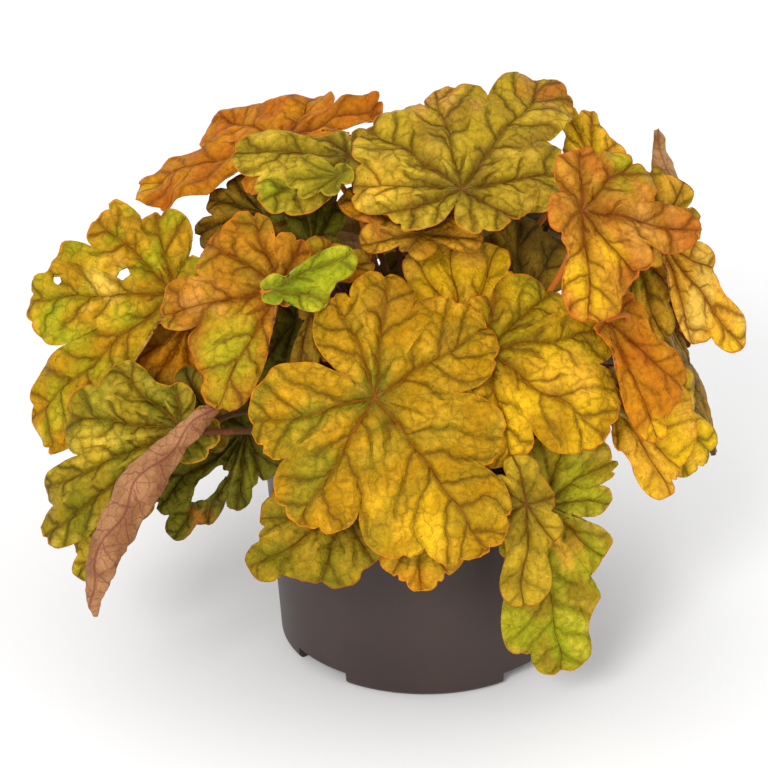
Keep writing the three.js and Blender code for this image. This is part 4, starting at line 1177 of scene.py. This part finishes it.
potSizes = {
    "height": 91, "rimRadius": 64, "rimHeight": 10, "wallTopRadius": 57, "baseRadius": 51, "wall": 1.6,
    "floor": 2, "ledge": 1.8, "steps": 160,
    "notchTurns": (46, 134, 226, 314), "notchWidth": 24, "notchHeight": 5, "notchDepth": 9,
    "drainCount": 6, "drainRadius": 4, "drainRing": 26,
}
potShades = {"dark": (54, 41, 37), "light": (63, 49, 44)}


def wallRadius(z):
    rise = potSizes["height"] - potSizes["rimHeight"]
    return potSizes["baseRadius"] + (potSizes["wallTopRadius"] - potSizes["baseRadius"]) * z / rise


def spunMesh(name, profile, steps):
    bm = bmesh.new()
    verts = [bm.verts.new((radius * mm, 0, z * mm)) for radius, z in profile]
    edges = [bm.edges.new(pair) for pair in zip(verts[:-1], verts[1:])]
    bmesh.ops.spin(bm, geom=verts + edges, cent=(0, 0, 0), axis=(0, 0, 1), angle=2 * math.pi, steps=steps,
                   use_merge=True, use_duplicate=False)
    bmesh.ops.remove_doubles(bm, verts=bm.verts, dist=1e-6)
    bmesh.ops.recalc_face_normals(bm, faces=bm.faces)
    return toMesh(name, bm)


def potPiece():
    s = potSizes
    height, rim, wall, wallTop = s["height"], s["rimRadius"], s["wall"], s["wallTopRadius"]
    rimBase = height - s["rimHeight"]
    roof = s["notchHeight"] + wall
    inner = s["baseRadius"] - s["notchDepth"]
    mesh = spunMesh("pot_wall", [
        # the foot's rounded edge, the wall, the rim outside and inside, and the floor
        (0, 0), (s["baseRadius"] - 2.6, 0), (s["baseRadius"] - 1.4, 0.25), (s["baseRadius"] - 0.6, 0.9),
        (wallRadius(1.8), 1.8), (wallRadius(2.8), 2.8), (wallRadius(30), 30), (wallTop, rimBase - 0.8),
        (wallTop + 0.25, rimBase - 0.25), (wallTop + 0.7, rimBase),
        (rim - 0.6, rimBase), (rim - 0.2, rimBase + 0.15), (rim, rimBase + 0.6), (rim + 0.4, height - 1.2),
        (rim + 0.3, height - 0.4), (rim - 0.1, height), (rim - 1.2, height), (rim - wall, height - 0.8),
        (rim - wall - 0.6, rimBase + s["ledge"]), (wallTop - 0.4, rimBase + s["ledge"]),
        (wallTop - wall, rimBase + 0.6), (wallRadius(roof) - wall, roof), (inner - wall, roof),
        (inner - 2 * wall, s["floor"]), (0, s["floor"]),
    ], s["steps"])
    cutters = bmesh.new()
    for turn in s["notchTurns"]:
        place = Matrix.Rotation(math.radians(turn), 4, "Z") @ Matrix.Translation(
            (0, -(inner + s["notchDepth"]) * mm, 0))
        size = Matrix.Diagonal((s["notchWidth"] * mm, 2 * s["notchDepth"] * mm, 2 * s["notchHeight"] * mm, 1))
        bmesh.ops.create_cube(cutters, size=1, matrix=place @ size)
    for k in range(s["drainCount"]):
        place = Matrix.Rotation(2 * math.pi * k / s["drainCount"], 4, "Z") @ Matrix.Translation(
            (s["drainRing"] * mm, 0, 0))
        bmesh.ops.create_cone(cutters, cap_ends=True, segments=32, radius1=s["drainRadius"] * mm,
                              radius2=s["drainRadius"] * mm, depth=4 * s["floor"] * mm, matrix=place)
    whole = newObject("pot_uncut", mesh)
    cuts = newObject("pot_cuts", toMesh("pot_cuts", cutters))
    cutting = whole.modifiers.new("cut", "BOOLEAN")
    cutting.object = cuts
    cutting.operation = "DIFFERENCE"
    cutting.solver = "EXACT"
    mesh = finishedMesh(whole)
    bpy.data.objects.remove(cuts)
    smooth(mesh, 40)
    addPiece("pot_wall", mesh, ["pot"], [potPlastic()])


def potPlastic():
    material, tree, shader = nodesFor("pot_plastic")
    where = objectPlace(tree)
    cloud = noise(tree, where, 22, 3.0, 0.5)
    dark, light = (colour(potShades[key]) for key in ("dark", "light"))
    shade = mix(tree, band(tree, cloud, 0.3, 0.7), dark, light)
    coat(tree, shader, shade, band(tree, cloud, 0.3, 0.7, 0.42, 0.52), 0.4)
    bump(tree, shader, noise(tree, where, 1400, 2.0, 0.6), 0.12, 0.35)
    return material


potPiece()
print("pot done")


# The compost.

compostSizes = {
    "foot": 8, "gap": 0.4,  # above the notches, and beside the pot's wall
    "edge": 0.6,  # the surface's edge lies this much under the soil level
    "rings": (0.6, 2, 3, 4, 5, 6, 6, 6, 6, 5),  # of the surface, from its edge inwards
    "crumbs": 520, "crumbSize": (0.8, 2.4), "crumbSeed": 7,
}
compostShades = {"dark": (26, 18, 12), "light": (74, 54, 38)}


def compostPiece():
    s = compostSizes
    bm = bmesh.new()
    top, foot = (wallRadius(z) - potSizes["wall"] - s["gap"] for z in (soilLevel, s["foot"]))
    edge = soilLevel - s["edge"]
    middle = Matrix.Translation((0, 0, (edge + s["foot"]) / 2 * mm))
    bmesh.ops.create_cone(bm, cap_ends=True, segments=72, radius1=foot * mm, radius2=top * mm,
                          depth=(edge - s["foot"]) * mm, matrix=middle)
    face = [f for f in bm.faces if f.normal.z > 0.9]
    for thickness in s["rings"]:
        bmesh.ops.inset_region(bm, faces=face, thickness=thickness * mm, use_even_offset=True)
    for vert in bm.verts:
        if vert.co.z < (soilLevel - 5) * mm:
            continue
        x, y = vert.co.x / mm, vert.co.y / mm
        inside = min(1, max(0, (top - math.hypot(x, y)) / 4))
        rise = 0.9 * math.sin(0.37 * x + 1.3) * math.cos(0.31 * y) + 0.5 * math.sin(0.83 * (x - y))
        vert.co.z = (edge + inside * s["edge"] * (1 + rise)) * mm
    rng = np.random.default_rng(s["crumbSeed"])
    for _ in range(s["crumbs"]):
        a, away = rng.uniform(0, 2 * math.pi), math.sqrt(rng.uniform(0.1, 1)) * (top - 2)
        size = rng.uniform(*s["crumbSize"]) * mm
        place = Matrix.Translation((away * math.cos(a) * mm, away * math.sin(a) * mm, (soilLevel + 0.2) * mm))
        turn = Matrix.Rotation(rng.uniform(0, 6), 4, "X") @ Matrix.Rotation(rng.uniform(0, 6), 4, "Z")
        shape = Matrix.Diagonal((size, size * rng.uniform(0.4, 1), size * rng.uniform(0.3, 0.7), 1))
        bmesh.ops.create_icosphere(bm, subdivisions=1, radius=1, matrix=place @ turn @ shape)
    mesh = toMesh("compost_top", bm)
    smooth(mesh, 35)
    material, tree, shader = nodesFor("compost")
    where = objectPlace(tree)
    crumbs = noise(tree, where, 500, 4.0, 0.7)
    dark, light = (colour(compostShades[key]) for key in ("dark", "light"))
    shade = mix(tree, band(tree, crumbs, 0.35, 0.7), dark, light)
    coat(tree, shader, shade, band(tree, crumbs, 0.3, 0.8, 0.85, 0.95))
    bump(tree, shader, crumbs, 1.5, 0.9)
    addPiece("compost_top", mesh, ["compost"], [material])


compostPiece()
print("compost done")


# The floor, the lights and the camera, in metres.

studio = {
    "floorSize": 6.0, "floorShade": (0.97, 0.97, 0.97, 1), "skyStrength": 0.9, "lightAim": (0, 0, 0.1),
    "key": {"place": (-0.7, -1.9, 1.4), "size": 0.8, "power": 28},
    "fill": {"place": (1.6, -1.2, 1.0), "size": 1.6, "power": 5},
}
viewpoint = {"pitch": 25.9, "distance": 1.045, "aim": (-0.0142, 0, 0.096), "lens": 140.6, "sensor": 36}


def addFloor():
    bm = bmesh.new()
    bmesh.ops.create_grid(bm, x_segments=1, y_segments=1, size=studio["floorSize"])
    floor = newObject("floor", toMesh("floor", bm))
    material, tree, shader = nodesFor("floor")
    coat(tree, shader, studio["floorShade"], 0.9, 0.0)
    floor.data.materials.append(material)


def addLight(name, place, size, power):
    light = bpy.data.lights.new(name, "AREA")
    light.shape = "DISK"
    light.size = size
    light.energy = power
    lamp = newObject(name, light)
    lamp.location = place
    lamp.rotation_mode = "QUATERNION"
    lamp.rotation_quaternion = (Vector(studio["lightAim"]) - Vector(place)).to_track_quat("-Z", "Y")


def addCamera():
    camera = bpy.data.cameras.new("camera")
    camera.lens = viewpoint["lens"]
    camera.sensor_width = viewpoint["sensor"]
    camera.clip_start = 0.05
    holder = newObject("camera", camera)
    pitch = math.radians(viewpoint["pitch"])
    back = Vector((0, -math.cos(pitch), math.sin(pitch)))
    holder.location = Vector(viewpoint["aim"]) + back * viewpoint["distance"]
    holder.rotation_euler = (math.pi / 2 - pitch, 0, 0)
    bpy.context.scene.camera = holder


addFloor()
addLight("key_light", **studio["key"])
addLight("fill_light", **studio["fill"])
world = bpy.data.worlds.new("studio")
world.use_nodes = True
sky = world.node_tree.nodes["Background"]
sky.inputs["Color"].default_value = (1, 1, 1, 1)
sky.inputs["Strength"].default_value = studio["skyStrength"]
bpy.context.scene.world = world
bpy.context.scene.view_settings.view_transform = "Standard"
addCamera()
print("stage done")
